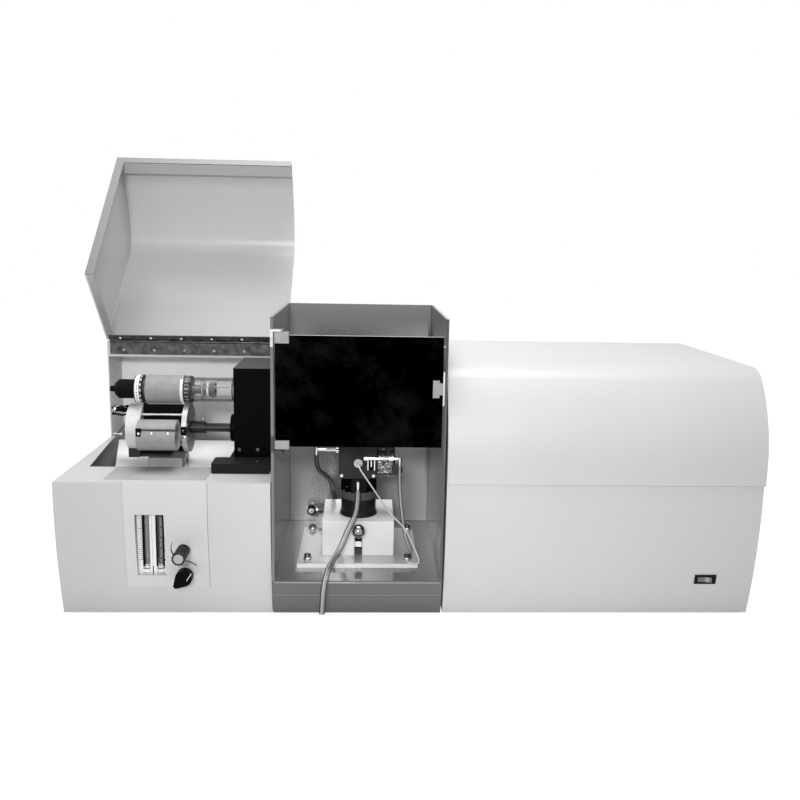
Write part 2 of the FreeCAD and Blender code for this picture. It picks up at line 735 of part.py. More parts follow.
# Hollow cathode lamp in the top clamp
b = body("lamp_envelope")
s = sketch(b, "envelope_outline", "XZ_Plane", -beam_y)
z0 = 327.0
loop(s, [
    (-276, z0), (-276, z0 + 14), (-280, z0 + 19), (-418, z0 + 19), (-418, z0 + 17.4), (-281, z0 + 17.4),
    (-277.6, z0 + 13.4), (-277.6, z0),
])
p = b.newObject("PartDesign::Revolution", "Revolution")
p.Profile = s
s2 = b.newObject("PartDesign::Line", "lamp_axis")
s2.Placement = FreeCAD.Placement(V(0, 134, z0), AXES["x"])
p.ReferenceAxis = (s2, [""])
p.Angle = 360
keep(b, "lamp_envelope")
collar = fuse([rod("x", -431, beam_y, beam_z, 22.6, 12), rod("x", -419, beam_y, beam_z, 17.2, 3)])
o = bevel_edges(rod("x", -463.6, beam_y, beam_z, 15, 32.6), 5.5, lambda e: abs(e.Vertexes[0].Point.x + 463.6) < 0.1)
keep(fuse([o, cone("x", -472, beam_y, beam_z, 4.2, 5.6, 9)]), "lamp_socket")
parts = [rod("x", -416, beam_y, beam_z, 5, 60), rod("x", -356, beam_y, beam_z, 13, 3)]
parts += [rod("x", -353, beam_y, beam_z, 6.5, 26), rod("x", -327, beam_y, beam_z, 9, 14)]
keep(fuse(parts), "lamp_electrodes")
o = cut(rod("x", -355.5, beam_y, beam_z, 21.6, 11), rod("x", -360, beam_y, beam_z, 19.05, 30))
keep(together([collar, o]), "lamp_collars")

# Pedestal and the cradle that the turret ring turns in
saddle = cut(box(-441.5, -424, 112, 156, 222, 244), rod("x", -445, beam_y, turret_z, 36.8, 24))
keep(fuse([box(-411, -358, 108, 160, 206, 222), box(-441.5, -380, 116, 152, 222, 226.4), saddle]), "turret_supports")

# Burner base plate and its white box
keep(box(-175, 11.5, 53, 221, 64, 71), "burner_base_plate")
o = cut(box(-138, -25, 87, 205, 71, 127), [
    box(-133, -30, 92, 200, 70, 121),
    rod("z", burner_x, burner_y, 115, 30.3, 20),
    box(-87.2, -74.8, 80, 95, 70, 108),
])
o = round_edges(o, 1.2, lambda e: upright(e) and e.Vertexes[0].Point.y in (87.0, 205.0)
                and abs(abs(e.Vertexes[0].Point.x + 81.5) - 56.5) < 0.1)
keep(o, "burner_box")

dome = []
for x, y in ((-160.6, 213), (2.8, 213), (-160, 72), (-4, 71.5)):
    dome.append(fuse([rod("z", x, y, 71, 6.2, 2.6), cone("z", x, y, 73.6, 6.2, 3.6, 2.0)]))
dome.append(fuse([rod("y", -165, 256, 89, 5.2, 24), rod("y", -165, 268.5, 89, 9, 8.4), rod("x", -165, 262, 89, 3.4, 11)]))
dome.append(fuse([rod("z", 2.2, 79.5, 71, 2.5, 4), rod("z", 2.2, 79.5, 75, 1.6, 5.1)]))
keep(together(dome), "chamber_fittings")

# Mixing chamber turned about the burner axis, with a faceted head
b = body("mixing_chamber")
s = sketch(b, "mixing_outline", "XZ_Plane", -burner_y)
cx = burner_x.v
loop(s, [
    (cx, 84), (cx + 25, 84), (cx + 26, 85), (cx + 26, 118), (cx + 29.6, 127.5), (cx + 29.6, 130),
    (cx + 28, 134), (cx + 28, 154.5), (cx + 28.6, 155), (cx + 29.4, 168), (cx, 168),
])
p = b.newObject("PartDesign::Revolution", "Revolution")
p.Profile = s
line = b.newObject("PartDesign::Line", "mixing_axis")
line.Placement = FreeCAD.Placement(V(cx, burner_y.v, 0), FreeCAD.Rotation())
p.ReferenceAxis = (line, [""])
p.Angle = 360
s = sketch(b, "head_outline", "XY_Plane", 168)
oct_r = 30.6
loop(s, [(cx + oct_r * math.cos(math.pi / 8 + math.pi / 4 * i), 134 + oct_r * math.sin(math.pi / 8 + math.pi / 4 * i))
         for i in range(8)])
pad(b, s, 24)
keep(b, "mixing_chamber")

spigot = fuse([rod("y", -82.5, 93, 186, 2.6, 12.6), rod("z", -82.5, 93, 176, 2.3, 9), rod("z", -82.5, 93, 180, 3.3, 10)])
tongue = box(-86.3, -75.7, 67, 107.9, 93, 101)
ball = doc.addObject("Part::Sphere", "ball")
ball.Radius = 10.8
ball.Placement = FreeCAD.Placement(V(-80.9, 73, 115.9), FreeCAD.Rotation())
grip = fuse([ball, rod("z", -81, 73, 100.5, 5.4, 6.6), tongue])
keep(grip, "height_knob")

# Burner block with the nebulizer body and relief port
blk = box(-113.5, -53.5, 104, 164, 192, 258)
body_ring = rod("y", -82.5, 92, 222, 8.6, 13)
port = box(-53.5, -24, 118, 152, 195, 238)
o = cut(fuse([blk, body_ring, port]), rod("y", -82.5, 90, 222, 1.4, 10))
keep(o, "burner_block")
neck = rod("z", burner_x, burner_y, 258, 19, 16)
head = box(-137, -26, 120, 148, 274, 312)
head = bevel_edges(head, 7, lambda e: along_x(e) and e.Vertexes[0].Point.z > 311)
head = cut(head, box(-131.5, -31.5, 133.7, 134.3, 285, 320))
keep(fuse([neck, head]), "burner_head")

b = body("nebulizer_knob")
s = sketch(b, "neb_outline", "XZ_Plane", -91.7)
circle(s, -82.5, 222, 6.8)
pad(b, s, 8)
s2 = sketch(b, "neb_bore", "XZ_Plane", -82)
circle(s2, -82.5, 222, 1.3)
pocket(b, s2, 20, False)
keep(b, "nebulizer_knob")

arm = [rod("x", -73.7, 97, 226, 2.1, 56.5), rod("x", -73.7, 97, 226, 3.4, 5), rod("x", -34, 97, 226, 3.6, 6)]
arm += [rod("z", -17.2, 97, 215, 2.4, 13.4), rod("z", -17.2, 97, 222.6, 3.3, 6.4)]
inlet = [rod("x", -150, 134, 231, 2.6, 36.5), rod("z", -150, 134, 223, 3.2, 12.6), rod("x", -118.5, 134, 231, 5, 5)]
bracket = fuse([box(-68, -56, 101.6, 104, 206, 228), rod("-y", -62, 101.7, 211, 2.4, 1.8)])
keep(together([fuse(arm), fuse(inlet), bracket, spigot]), "gas_pipes")


def route(points, radius, bore=0.0):
    """Tube of straight runs joined by tangent arcs; prints its radii and volume."""
    pts = [V(*p) for p in points]
    edges = []
    radii = []
    at = pts[0]
    for i in range(1, len(pts) - 1):
        a, p, c = pts[i - 1], pts[i], pts[i + 1]
        u = (a - p).normalize()
        w = (c - p).normalize()
        turn = math.pi - u.getAngle(w)
        reach = 0.45 * min((a - p).Length, (c - p).Length)
        r = reach / math.tan(turn / 2)
        radii.append(r)
        t0 = p + u * reach
        t1 = p + w * reach
        bis = (u + w).normalize()
        centre = p + bis * (r / math.cos(turn / 2))
        mid = centre + (p - centre).normalize() * r
        edges.append(Part.LineSegment(at, t0).toShape())
        edges.append(Part.Arc(t0, mid, t1).toShape())
        at = t1
    edges.append(Part.LineSegment(at, pts[-1]).toShape())
    path = Part.Wire(edges)
    n = (pts[1] - pts[0]).normalize()
    ring = Part.Wire(Part.makeCircle(radius, pts[0], n))
    tube = path.makePipeShell([ring], True, False, 0)
    section = math.pi * radius ** 2
    if bore:
        inner = path.makePipeShell([Part.Wire(Part.makeCircle(bore, pts[0], n))], True, False, 0)
        tube = tube.cut(inner)
        section -= math.pi * bore ** 2
    print("tube", "length", round(path.Length, 1), "volume", round(tube.Volume / (section * path.Length), 4),
          "radii", [round(r, 1) for r in radii])
    return tube


def tube_node(label, points, radius, bore=0.0):
    o = doc.addObject("Part::Feature", label)
    o.Shape = route(points, radius, bore)
    keep(o, label)


DRAIN = [
    (-82.5, 93, 176), (-82.5, 93, 154.6), (-87, 80, 136), (-96.2, 68, 122.6), (-102.6, 62, 107.6),
    (-109.2, 53.5, 94), (-115.9, 38.5, 86.4), (-122, 17.5, 83.2), (-127.2, -5, 75.5), (-130.9, -17, 59.5),
    (-132, -18.5, 38), (-133, -18.5, 21.5),
]
tube_node("drain_hose", DRAIN, 4.6)
CAPILLARY = [
    (-82.5, 90, 222), (-82.5, 80, 222), (-80, 72, 217), (-75.5, 71.5, 210), (-64, 75, 192), (-46, 79, 164),
    (-29, 78, 140), (-9, 74, 121.8), (0.8, 70, 103.4), (10.1, 65.3, 84), (14.2, 54.6, 73.3), (9, 47.5, 71.5),
    (0.2, 47.6, 72.5), (-4.4, 55, 72.9),
]
tube_node("sample_capillary", CAPILLARY, 1.2)
AIR = [
    (-17.2, 97, 215), (-17.2, 97, 196), (-16.2, 96, 174), (-14, 92, 150), (-10.5, 87, 124), (-7, 82.5, 104),
    (-1.5, 79.5, 90), (2.2, 79.5, 81),
]
tube_node("air_hose", AIR, 3.0)
FUEL = [
    (-150, 134, 223), (-150, 134, 210), (-146.5, 138.5, 196), (-136, 148.8, 186), (-127.5, 163, 171),
    (-124, 182, 154), (-125.5, 205, 141.5), (-121.8, 225, 120), (-115.7, 240, 102.5), (-122.4, 253.2, 92.7),
    (-138.5, 262, 89), (-154, 262, 89),
]
tube_node("fuel_hose", FUEL, 3.7)

# Flowmeters behind the panel window, with their floats
blocks = []
for x in (-393.6, -373.4):
    blk = box(x - 9.4, x + 9.4, 11.5, 33.5, 66, 169)
    blocks.append(cut(blk, rod("z", x, 22, 90, 3.6, 70)))
keep(together(blocks), "flowmeters")
for label, x in (("float_air", -393.6), ("float_fuel", -373.4)):
    keep(fuse([cone("z", x, 22, 90.2, 1.2, 3.1, 5), rod("z", x, 22, 95.2, 3.1, 2.4)]), label)

# Needle valve knob with ribs, and its spindle
b = body("valve_knob")
s = sketch(b, "valve_outline", "XZ_Plane", 11)
circle(s, valve_x, valve_z, 9.5)
pad(b, s, 36)
s = sketch(b, "valve_collar", "XZ_Plane", 4.6)
circle(s, valve_x, valve_z, 7.8)
pad(b, s, 5)
s = sketch(b, "valve_spindle", "XZ_Plane", -12)
circle(s, valve_x, valve_z, 4.4)
pad(b, s, 24)
s = sketch(b, "valve_disc", "XZ_Plane", 46.4)
circle(s, valve_x, valve_z, 7.2)
pocket(b, s, 5, True)
for i in range(14):
    a = 2 * math.pi * i / 14
    s = sketch(b, "valve_rib_%02d" % i, "XZ_Plane", 14)
    circle(s, valve_x.v + 10.1 * math.cos(a), valve_z.v + 10.1 * math.sin(a), 1.3)
    pocket(b, s, 40, True)
keep(b, "valve_knob")

b = body("selector_knob")
s = sketch(b, "selector_outline", "XZ_Plane", 3.6)
cx, cz, r = sel_x.v, sel_z.v, 12.2
tip = math.radians(226.5)
reach = 19.5
half_tip = math.radians(58)
p1 = (cx + r * math.cos(tip - half_tip), cz + r * math.sin(tip - half_tip))
p2 = (cx + r * math.cos(tip + half_tip), cz + r * math.sin(tip + half_tip))
e1 = (cx + reach * math.cos(tip - 0.13), cz + reach * math.sin(tip - 0.13))
e2 = (cx + reach * math.cos(tip + 0.13), cz + reach * math.sin(tip + 0.13))
loop(s, [p2, (p1[0], p1[1], cx, cz, 1), e1, e2])
pad(b, s, 13)
s = sketch(b, "selector_spindle", "XZ_Plane", -12)
circle(s, sel_x, sel_z, 3.8)
pad(b, s, 16)
keep(b, "selector_knob")

# Power switch
b = body("switch_bezel")
s = sketch(b, "bezel_outline", "YZ_Plane", 430)
z0, z1 = 57.5, 72.5
loop(s, [(16, z1), (16, z0), (front(z0, 1.6), z0), (front(z1, 1.6), z1, C1[0], C1[1], -1)])
pad(b, s, 33)
s2 = sketch(b, "bezel_back_profile", "YZ_Plane", 420)
loop(s2, [(30, 50), (30, 80), (front(80), 80), (front(50), 50, C1[0], C1[1], 1)])
pocket(b, s2, 12.2, True)
s2 = sketch(b, "bezel_back_profile_right", "YZ_Plane", 460.8)
loop(s2, [(30, 50), (30, 80), (front(80), 80), (front(50), 50, C1[0], C1[1], 1)])
pocket(b, s2, 12, True)
for z0, z1 in ((50, 59.7), (70.3, 80)):
    s2 = sketch(b, "bezel_edge_profile", "YZ_Plane", 425)
    loop(s2, [(30, z0), (30, z1), (front(z1), z1), (front(z0), z0, C1[0], C1[1], 1)])
    pocket(b, s2, 45, True)
s = sketch(b, "bezel_mouth", "XZ_Plane", 0)
rect(s, 434.2, 458.8, 60.9, 69.1)
pocket(b, s, 30, False)
keep(b, "switch_bezel")

b = body("switch_rocker")
s = sketch(b, "rocker_outline", "XY_Plane", 61.3)
pv = (446.5, 16.0)
pts = [(-10.4, -11.4), (0, -9.6), (10.4, -11.4), (9.0, -2), (3, 0), (-3, 0), (-9.0, -2)]
t = math.radians(-7)
loop(s, [(pv[0] + u * math.cos(t) - v * math.sin(t), pv[1] + u * math.sin(t) + v * math.cos(t)) for u, v in pts])
pad(b, s, 7.4)
s = sketch(b, "rocker_boss", "XY_Plane", 61.3)
circle(s, 446.5, 16, 2.4)
pad(b, s, 7.4)
keep(b, "switch_rocker")

# Feet
feet = [cone("z", x, y, 0, 11, 13, foot_h) for x in (-480, -250, 90, 480) for y in (62, 330)]
keep(together(feet), "feet")

# Optics and electronics inside the right housing
bed = [box(62, 500, 60, 350, 240, 250)]
bed += [box(x, x + 16, y, y + 16, 8, 240) for x in (70, 470) for y in (70, 320)]
keep(fuse(bed), "optical_bed")
case = cut(box(170, 480, 90, 340, 250, 366), [box(174, 476, 94, 336, 254, 362), rod("x", 160, beam_y, beam_z, 9, 30)])
keep(case, "monochromator_case")
table = fuse([rod("z", 400, 250, 254.3, 30, 6), box(374, 426, 244, 256, 260, 320)])
keep(table, "grating_table")
pmt = fuse([box(190, 236, 270, 316, 254, 262), rod("z", 213, 293, 262, 17, 78)])
keep(pmt, "photomultiplier")
board = [box(110, 330, 110, 330, 20, 22)] + [box(130 + i * 50, 160 + i * 50, 150, 190, 22, 28) for i in range(4)]
board += [box(120, 126, 120, 126, 8, 20), box(310, 316, 120, 126, 8, 20), box(120, 126, 310, 316, 8, 20)]
board += [box(310, 316, 310, 316, 8, 20)]
trafo = fuse([box(355, 445, 150, 250, 8, 16), box(365, 435, 165, 235, 16, 86), box(380, 420, 150, 250, 28, 74)])
keep(together([fuse(board), trafo]), "electronics")
# Check every feature and write one file for each piece
doc.recompute()
faulty = [o.Name for o in doc.Objects if "Invalid" in o.State or "Error" in o.State]
for label, obj in nodes:
    sh = obj.Shape
    if sh.isNull() or not sh.isValid():
        faulty.append(label)
    print(label, len(sh.Solids), round(sh.Volume, 1), sh.BoundBox)
if faulty:
    raise RuntimeError("faulty: " + ", ".join(faulty))
os.makedirs("parts", exist_ok=True)
for label, obj in nodes:
    obj.Shape.exportStep("parts/%s.step" % label)
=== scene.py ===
# %% [markdown]
# # A bench spectrometer around its CAD frame
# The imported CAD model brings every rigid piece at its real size. This script gives those pieces their
# finishes, adds the small parts that are easier to make as meshes, and photographs the result.

# %% Load the frame
import math
import random
import bmesh
import bpy
from mathutils import Matrix, Vector


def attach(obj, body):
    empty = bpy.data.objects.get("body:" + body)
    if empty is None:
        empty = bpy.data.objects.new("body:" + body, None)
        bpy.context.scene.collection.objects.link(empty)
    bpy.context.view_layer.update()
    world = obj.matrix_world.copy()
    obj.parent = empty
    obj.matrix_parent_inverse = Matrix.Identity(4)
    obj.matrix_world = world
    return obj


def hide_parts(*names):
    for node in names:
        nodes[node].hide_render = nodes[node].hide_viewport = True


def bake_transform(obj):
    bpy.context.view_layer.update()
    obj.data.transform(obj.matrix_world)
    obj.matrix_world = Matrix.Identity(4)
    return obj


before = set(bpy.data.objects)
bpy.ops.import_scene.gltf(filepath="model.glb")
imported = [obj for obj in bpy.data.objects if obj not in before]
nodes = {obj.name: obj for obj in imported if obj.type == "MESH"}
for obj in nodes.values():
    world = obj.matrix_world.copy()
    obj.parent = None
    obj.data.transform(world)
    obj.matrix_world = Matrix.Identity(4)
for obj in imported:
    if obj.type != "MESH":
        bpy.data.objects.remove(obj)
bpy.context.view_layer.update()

# %% [markdown]
# ## Measuring from the front
# The instrument was measured in millimetres from the foot of its front face, while the frame has its
# origin under the middle. One constant holds the way between the two. A place can also be read off a CAD
# piece, which is safer than typing it again: what sits on the lamp's axis asks the lamp's glass for it.

# %% Front millimetres
MM = 0.001
FOOT = (-0.75, -205.06, 0.0)
RIGHT, BACK, UP = 0, 1, 2


def spot(x, y, z):
    """A place in front millimetres, in scene metres."""
    return Vector((x + FOOT[RIGHT], y + FOOT[BACK], z + FOOT[UP])) * MM


def reach(name):
    """How far a CAD piece reaches along X, Y and Z: three (low, high) pairs in front millimetres."""
    columns = zip(*(v.co for v in nodes[name].data.vertices))
    return [(round(min(c) / MM - foot, 1), round(max(c) / MM - foot, 1)) for c, foot in zip(columns, FOOT)]


def middle(name):
    """The middle of a CAD piece's box, in front millimetres."""
    return [round((low + high) / 2, 1) for low, high in reach(name)]


LAMP = middle("lamp_envelope")
VALVE = middle("valve_knob")
BURNER = middle("mixing_chamber")
print("lamp", LAMP, "valve", VALVE, "burner", BURNER)

# %% [markdown]
# ## The camera
# The photograph was taken from a little over a metre away, slightly above the housing and left of its
# middle. A point keeps its place in the picture only when distance, lens and tilt all agree, so the
# camera's numbers come from solving the picture's perspective.

# %% Camera
SENSOR_WIDTH = 36.0
FOCAL_PIXELS = 853.05
PICTURE_PIXELS = 800
EYE = (-76.0, -1202.06, 562.21)
YAW, PITCH, ROLL = 0.04311, 0.16916, 0.01872

lens = bpy.data.cameras.new("camera")
lens.sensor_width = SENSOR_WIDTH
lens.lens = FOCAL_PIXELS / PICTURE_PIXELS * SENSOR_WIDTH
lens.shift_x = 0.0006
lens.shift_y = -0.0156
lens.clip_start = 0.05
camera = bpy.data.objects.new("camera", lens)
bpy.context.scene.collection.objects.link(camera)
camera.matrix_world = (
    Matrix.Translation(spot(*EYE))
    @ Matrix.Rotation(-YAW, 4, "Z")
    @ Matrix.Rotation(math.pi / 2 - PITCH, 4, "X")
    @ Matrix.Rotation(ROLL, 4, "Z")
)
bpy.context.scene.camera = camera
print("lens mm", round(lens.lens, 2), "eye", camera.matrix_world.translation)

# %% [markdown]
# ## Shader maths as Python
# Node trees are easier to read as formulas. `Value` wraps one socket, so that `a * 2 + b` adds the Math
# nodes by itself, and `Finish` owns a material and makes any other node in one line.


# %% Values
class Value:
    """One output socket that takes part in arithmetic."""

    def __init__(self, finish, socket):
        self.finish = finish
        self.socket = socket

    def math(self, operation, *other):
        return self.finish.math(operation, self, *other)

    def __add__(self, other):
        return self.math("ADD", other)

    __radd__ = __add__

    def __sub__(self, other):
        return self.math("SUBTRACT", other)

    def __rsub__(self, other):
        return self.finish.math("SUBTRACT", other, self)

    def __mul__(self, other):
        return self.math("MULTIPLY", other)

    __rmul__ = __mul__

    def below(self, edge):
        return self.math("LESS_THAN", edge)

    def within(self, low, high):
        return self.math("GREATER_THAN", low) * self.below(high)


def set_stops(ramp, stops):
    """Gives a colour ramp its greys, each at its place from 0 to 1."""
    while len(ramp.elements) < len(stops):
        ramp.elements.new(0.5)
    for element, (at, grey) in zip(ramp.elements, stops):
        element.position = at
        element.color = (grey, grey, grey, 1.0)


# %% Finishes
class Finish:
    """A material named for what it covers, with its shader's plain values given by name."""

    def __init__(self, name, grey=0.5, **plain):
        self.material = bpy.data.materials.new(name)
        self.material.use_nodes = True
        self.tree = self.material.node_tree
        self.shader = self.tree.nodes["Principled BSDF"]
        self.put("Base Color", grey)
        for key, value in plain.items():
            self.put(key.replace("_", " "), value)

    def put(self, name, value):
        """Gives one of the shader's sockets a link, a grey or a number."""
        socket = self.shader.inputs[name]
        if isinstance(value, Value):
            self.tree.links.new(value.socket, socket)
        elif socket.type == "RGBA":
            socket.default_value = (value, value, value, 1.0)
        else:
            socket.default_value = value

    def node(self, kind, settings, feed, out=0):
        """Any node: first its settings, such as a ramp's stops, then the values or links of its sockets."""
        n = self.tree.nodes.new(kind)
        for key, value in settings.items():
            if key == "stops":
                set_stops(n.color_ramp, value)
            else:
                setattr(n, key, value)
        for key, value in feed.items():
            if isinstance(value, Value):
                self.tree.links.new(value.socket, n.inputs[key])
            else:
                n.inputs[key].default_value = value
        return Value(self, n.outputs[out])

    def math(self, operation, *values):
        return self.node("ShaderNodeMath", {"operation": operation}, dict(enumerate(values)))

    def place(self):
        return self.node("ShaderNodeTexCoord", {}, {}, "Object")

    def front(self, axis):
        """How far right, back or up a point lies from the front's foot, in millimetres."""
        part = self.node("ShaderNodeSeparateXYZ", {}, {0: self.place()}, axis)
        return part * (1 / MM) - FOOT[axis]

    def noise(self, scale, detail=3.0, rough=0.5, vector=None):
        feed = {"Vector": vector or self.place(), "Scale": scale, "Detail": detail, "Roughness": rough}
        return self.node("ShaderNodeTexNoise", {}, feed)

    def stretch(self, scale):
        return self.node("ShaderNodeMapping", {}, {"Vector": self.place(), "Scale": scale})

    def facing(self):
        """0 where the skin faces the eye, 1 where it turns away."""
        return self.node("ShaderNodeLayerWeight", {}, {"Blend": 0.5}, "Facing")

    def ramp(self, value, stops):
        return self.node("ShaderNodeValToRGB", {"stops": stops}, {0: value})

    def mix(self, mask, a, b):
        """Two greys, or two colour links, blended by a mask."""
        a, b = [(v, v, v, 1.0) if isinstance(v, float) else v for v in (a, b)]
        return self.node("ShaderNodeMix", {"data_type": "RGBA"}, {0: mask, 6: a, 7: b}, 2)

    def patched(self, tone, patches):
        """A tone with other greys over it, each where its mask is 1."""
        for mask, grey in patches:
            tone = self.mix(mask(self), tone, grey)
        return tone

    def bump(self, height, strength, distance):
        feed = {"Height": height, "Strength": strength, "Distance": distance}
        self.put("Normal", self.node("ShaderNodeBump", {}, feed))


print("shader helpers ready")

# %% [markdown]
# ## Patches
# One finish rarely looks the same all over: a wall darkens towards a corner, a label strip is white, a
# groove is black. Cutting the mesh up for that would add pieces. A mask leaves it whole: it says where a
# second grey goes, from the places of the real piece, and a finish lays its patches one over the other.


# %% Masks
def where(x=None, y=None, z=None):
    """The part of a piece between limits along X, Y and Z."""
    spans = [(axis, span) for axis, span in enumerate((x, y, z)) if span]

    def mask(f):
        inside, *others = [f.front(axis).within(*span) for axis, span in spans]
        for other in others:
            inside = inside * other
        return inside

    return mask


def fade(axis, low, high):
    """A patch that fades in from one place along an axis to another."""

    def mask(f):
        return f.node("ShaderNodeMapRange", {}, {"Value": f.front(axis), "From Min": low, "From Max": high})

    return mask


def both(first, second):
    return lambda f: first(f) * second(f)


def dashes(across, at, count, share):
    """Dashes round an axis that runs to the back (across is RIGHT) or to the right (across is BACK)."""

    def mask(f):
        angle = f.math("ARCTAN2", f.front(across) - at[0], f.front(UP) - at[1])
        return (angle * (count / (2 * math.pi))).math("FRACT").below(share)

    return mask


print("mask makers ready")

# %% [markdown]
# ## Painted sheet steel
# The shell is sprayed in a satin light grey. Close up it has a faint orange peel and soft clouds where
# hands and cloths have been. Both are noise: a fine one into the bump, a broad one into colour and gloss.
# Real light falls off over a metre of housing, so the large panels also fade a little from end to end.


# %% Paint
def paint(name, grey, rough, peel=0.12, grain=700.0, clouds=0.03, mottle=(60.0, 0.25), patches=(), **plain):
    """Sprayed paint; mottle gives the scale of its speckles and their share beside the broad clouds."""
    f = Finish(name, grey, **plain)
    scale, share = mottle
    cloud = f.noise(5.0, 4.0, 0.6)
    mixed = cloud * (1 - share) + f.noise(scale, 5.0, 0.6) * share
    tone = f.ramp(mixed, [(0.3, grey * (1 - clouds)), (0.7, grey * (1 + clouds))])
    f.put("Base Color", f.patched(tone, patches))
    f.put("Roughness", (cloud - 0.5) * 0.12 + rough)
    f.bump(f.noise(grain, 2.0), peel, 0.0002)
    return f.material


shell_paint = paint("shell_paint", 0.62, 0.4, patches=[(fade(RIGHT, 120, 520), 0.52)])
base_paint = paint("base_paint", 0.52, 0.4, patches=[(fade(RIGHT, -480, -230), 0.6)])
bay_shadow_line = where(x=(-515, -200), y=(270, 290), z=(354.0, 357.8))
# Painted light and shadow: the bay takes a lighter copy of the paint, and a black line under its top flange.
bay_paint = paint("bay_paint", 0.88, 0.42, patches=[(bay_shadow_line, 0.01)])
panel_film = paint("panel_film", 0.60, 0.5, peel=0.05, grain=1500.0)
print("shell paints", len(bpy.data.materials))

# %% [markdown]
# ## The lid
# The lid is drawn closed in CAD and stands open here, so its flat edge is a tilted plane. A mask for it
# measures how far a point lies above the hinge in the lid's own turned direction. The inside of the lid
# is a hollow that gathers light near the hinge, and its patches paint light and shade: it darkens from
# the crease down towards the hinge, the top rim and the left end wall get middle greys, and the flat edge
# round the mouth a dark one.

# %% Lid paint
LID_OPENING = math.radians(138.4)
HINGE_BACK, HINGE_UP = 284.0, 384.0
EDGE_SLOPE = math.atan2(11.0, HINGE_BACK)
EDGE_BAND = (155.1, 160)


def lid_mouth(f):
    """A mask for the flat edge round the open lid's mouth."""
    leaning = LID_OPENING - EDGE_SLOPE
    out = (f.front(UP) - HINGE_UP) * -math.cos(leaning) - (f.front(BACK) - HINGE_BACK) * math.sin(leaning)
    return out.within(*EDGE_BAND)


lid_paint = paint("lid_paint", 0.65, 0.34, patches=[
    # Painted shade and light: darker below the crease towards the hinge, middle greys on the top rim and the
    # end wall, dark on the mouth's flat edge.
    (fade(UP, 560, 505), 0.41),
    (fade(UP, 505, 440), 0.26),
    (fade(UP, 655, 672), 0.52),
    (where(x=(-521, -517.6)), 0.56),
    (lid_mouth, 0.19),
])
print("lid paint", lid_paint.name)

# %% [markdown]
# ## The burner chamber
# This liner is bent from one sheet and painted a darker, glossier hammer grey, stained by years of heat.
# Strong speckles make the hammer finish. The walls, the floor and the apron under it catch the light very
# differently, and patches paint that light and shade, each part with its own grey. Thin patches draw the
# edges of the bent sheet: a light line across the apron as a painted highlight, a dark right edge as shade.

# %% Chamber paint
back_wall = where(y=(270, 280))
chamber_paint = paint(
    "chamber_paint", 0.19, 0.14, peel=0.7, grain=420.0, clouds=0.6, mottle=(420.0, 0.7),
    Specular_IOR_Level=0.7,
    patches=[
        # Painted light on the back wall: lighter over its right half and towards its left end.
        (both(fade(RIGHT, -80, 40), back_wall), 0.40),
        (both(fade(RIGHT, -150, -195), back_wall), 0.32),
        # Painted shade: the right wall darkens towards its top.
        (both(where(x=(36, 40.5)), fade(UP, 120, 230)), 0.11),
        # Painted shade: the chamber's front faces and its floor are darker.
        (where(y=(-5, 2)), 0.06),
        (where(y=(2, 280), z=(60, 66)), 0.11),
        # Painted light: the back wall is lighter towards its top.
        (both(back_wall, fade(UP, 400, 430)), 0.25),
        # The walls' front edges: the left one a grey near the paint's own, the right one darker as painted
        # shade.
        (where(x=(-210, -203.5)), 0.18),
        (where(x=(40.5, 46)), 0.075),
        # Painted shade on the apron under the floor, crossed by a light line as a painted highlight.
        (where(z=(-1, 63.8)), 0.13),
        (where(z=(37.4, 38.4)), 0.24),
    ],
)
# Painted light and shade on the enamel: the plate's front face and the box's top lighter, the plate's top a
# middle grey.
plate_front, plate_top, box_top = where(y=(50, 53.4)), where(z=(70.6, 71.4)), where(z=(125.5, 128))
plate_enamel = paint("plate_enamel", 0.88, 0.16, peel=0.04, grain=500.0, patches=[
    (plate_front, 0.98), (plate_top, 0.37), (box_top, 0.98)])
# Painted light: the beam block's top and the top of its foot get lighter greys, where light from above falls
# on them.
block_top, block_foot = where(z=(367.5, 369)), where(y=(40, 90.5), z=(212, 230))
black_paint = paint(
    "black_paint", 0.002, 0.4, peel=0.3, grain=900.0, clouds=0.2, Specular_IOR_Level=0.03,
    patches=[(block_top, 0.07), (block_foot, 0.018)],
)
print("chamber paints", len(bpy.data.materials))

# %% [markdown]
# ## Metals
# Turned and rolled metal carries fine lines from the tool. Noise stretched along one axis gives them,
# and drives the roughness a little, so that highlights break up the way they do on real parts. The cast
# pieces of the turret are dull, so they use the same lines on a shader that isn't metallic.


# %% Metals
FINE_TURNED = (300.0, 300.0, 300.0)


def metal(
    name, grey, rough, lines=(40.0, 900.0, 900.0), depth=0.1, spread=0.1, patches=(), metallic=1.0, **plain
):
    """Worked metal; lines gives the scale of its tool marks along the three axes, spread its wear."""
    f = Finish(name, grey, Metallic=metallic, **plain)
    streak = f.noise(1.0, 4.0, 0.6, f.stretch(lines))
    wear = f.noise(90.0, 4.0, 0.6)
    tone = f.ramp(wear, [(0.3, grey * (1 - spread)), (0.7, grey * (1 + spread))])
    f.put("Base Color", f.patched(tone, patches))
    f.put("Roughness", (streak - 0.5) * 0.2 + (wear - 0.5) * 0.1 + rough)
    f.bump(streak, depth, 0.0001)
    return f.material


steel = metal("brushed_steel", 0.55, 0.3)
dark_screw = metal("blackened_screw", 0.10, 0.3)
bright = metal("polished_metal", 0.86, 0.1, lines=FINE_TURNED, depth=0.02)
knob_metal = metal("knob_metal", 0.42, 0.28)
# Painted shade: the upper part of the port's gauze, behind the door, is near black.
gauze_steel = metal("gauze_steel", 0.30, 0.35, spread=0.5, patches=[(where(z=(226, 240)), 0.04)])
hinge_plate = metal("door_hinge_metal", 0.6, 0.3, patches=[(where(z=(255, 300)), 0.09)])
hinge_steel = metal("worn_hinge_steel", 0.088, 0.42, lines=(30.0, 500.0, 500.0), depth=0.2, spread=0.5)
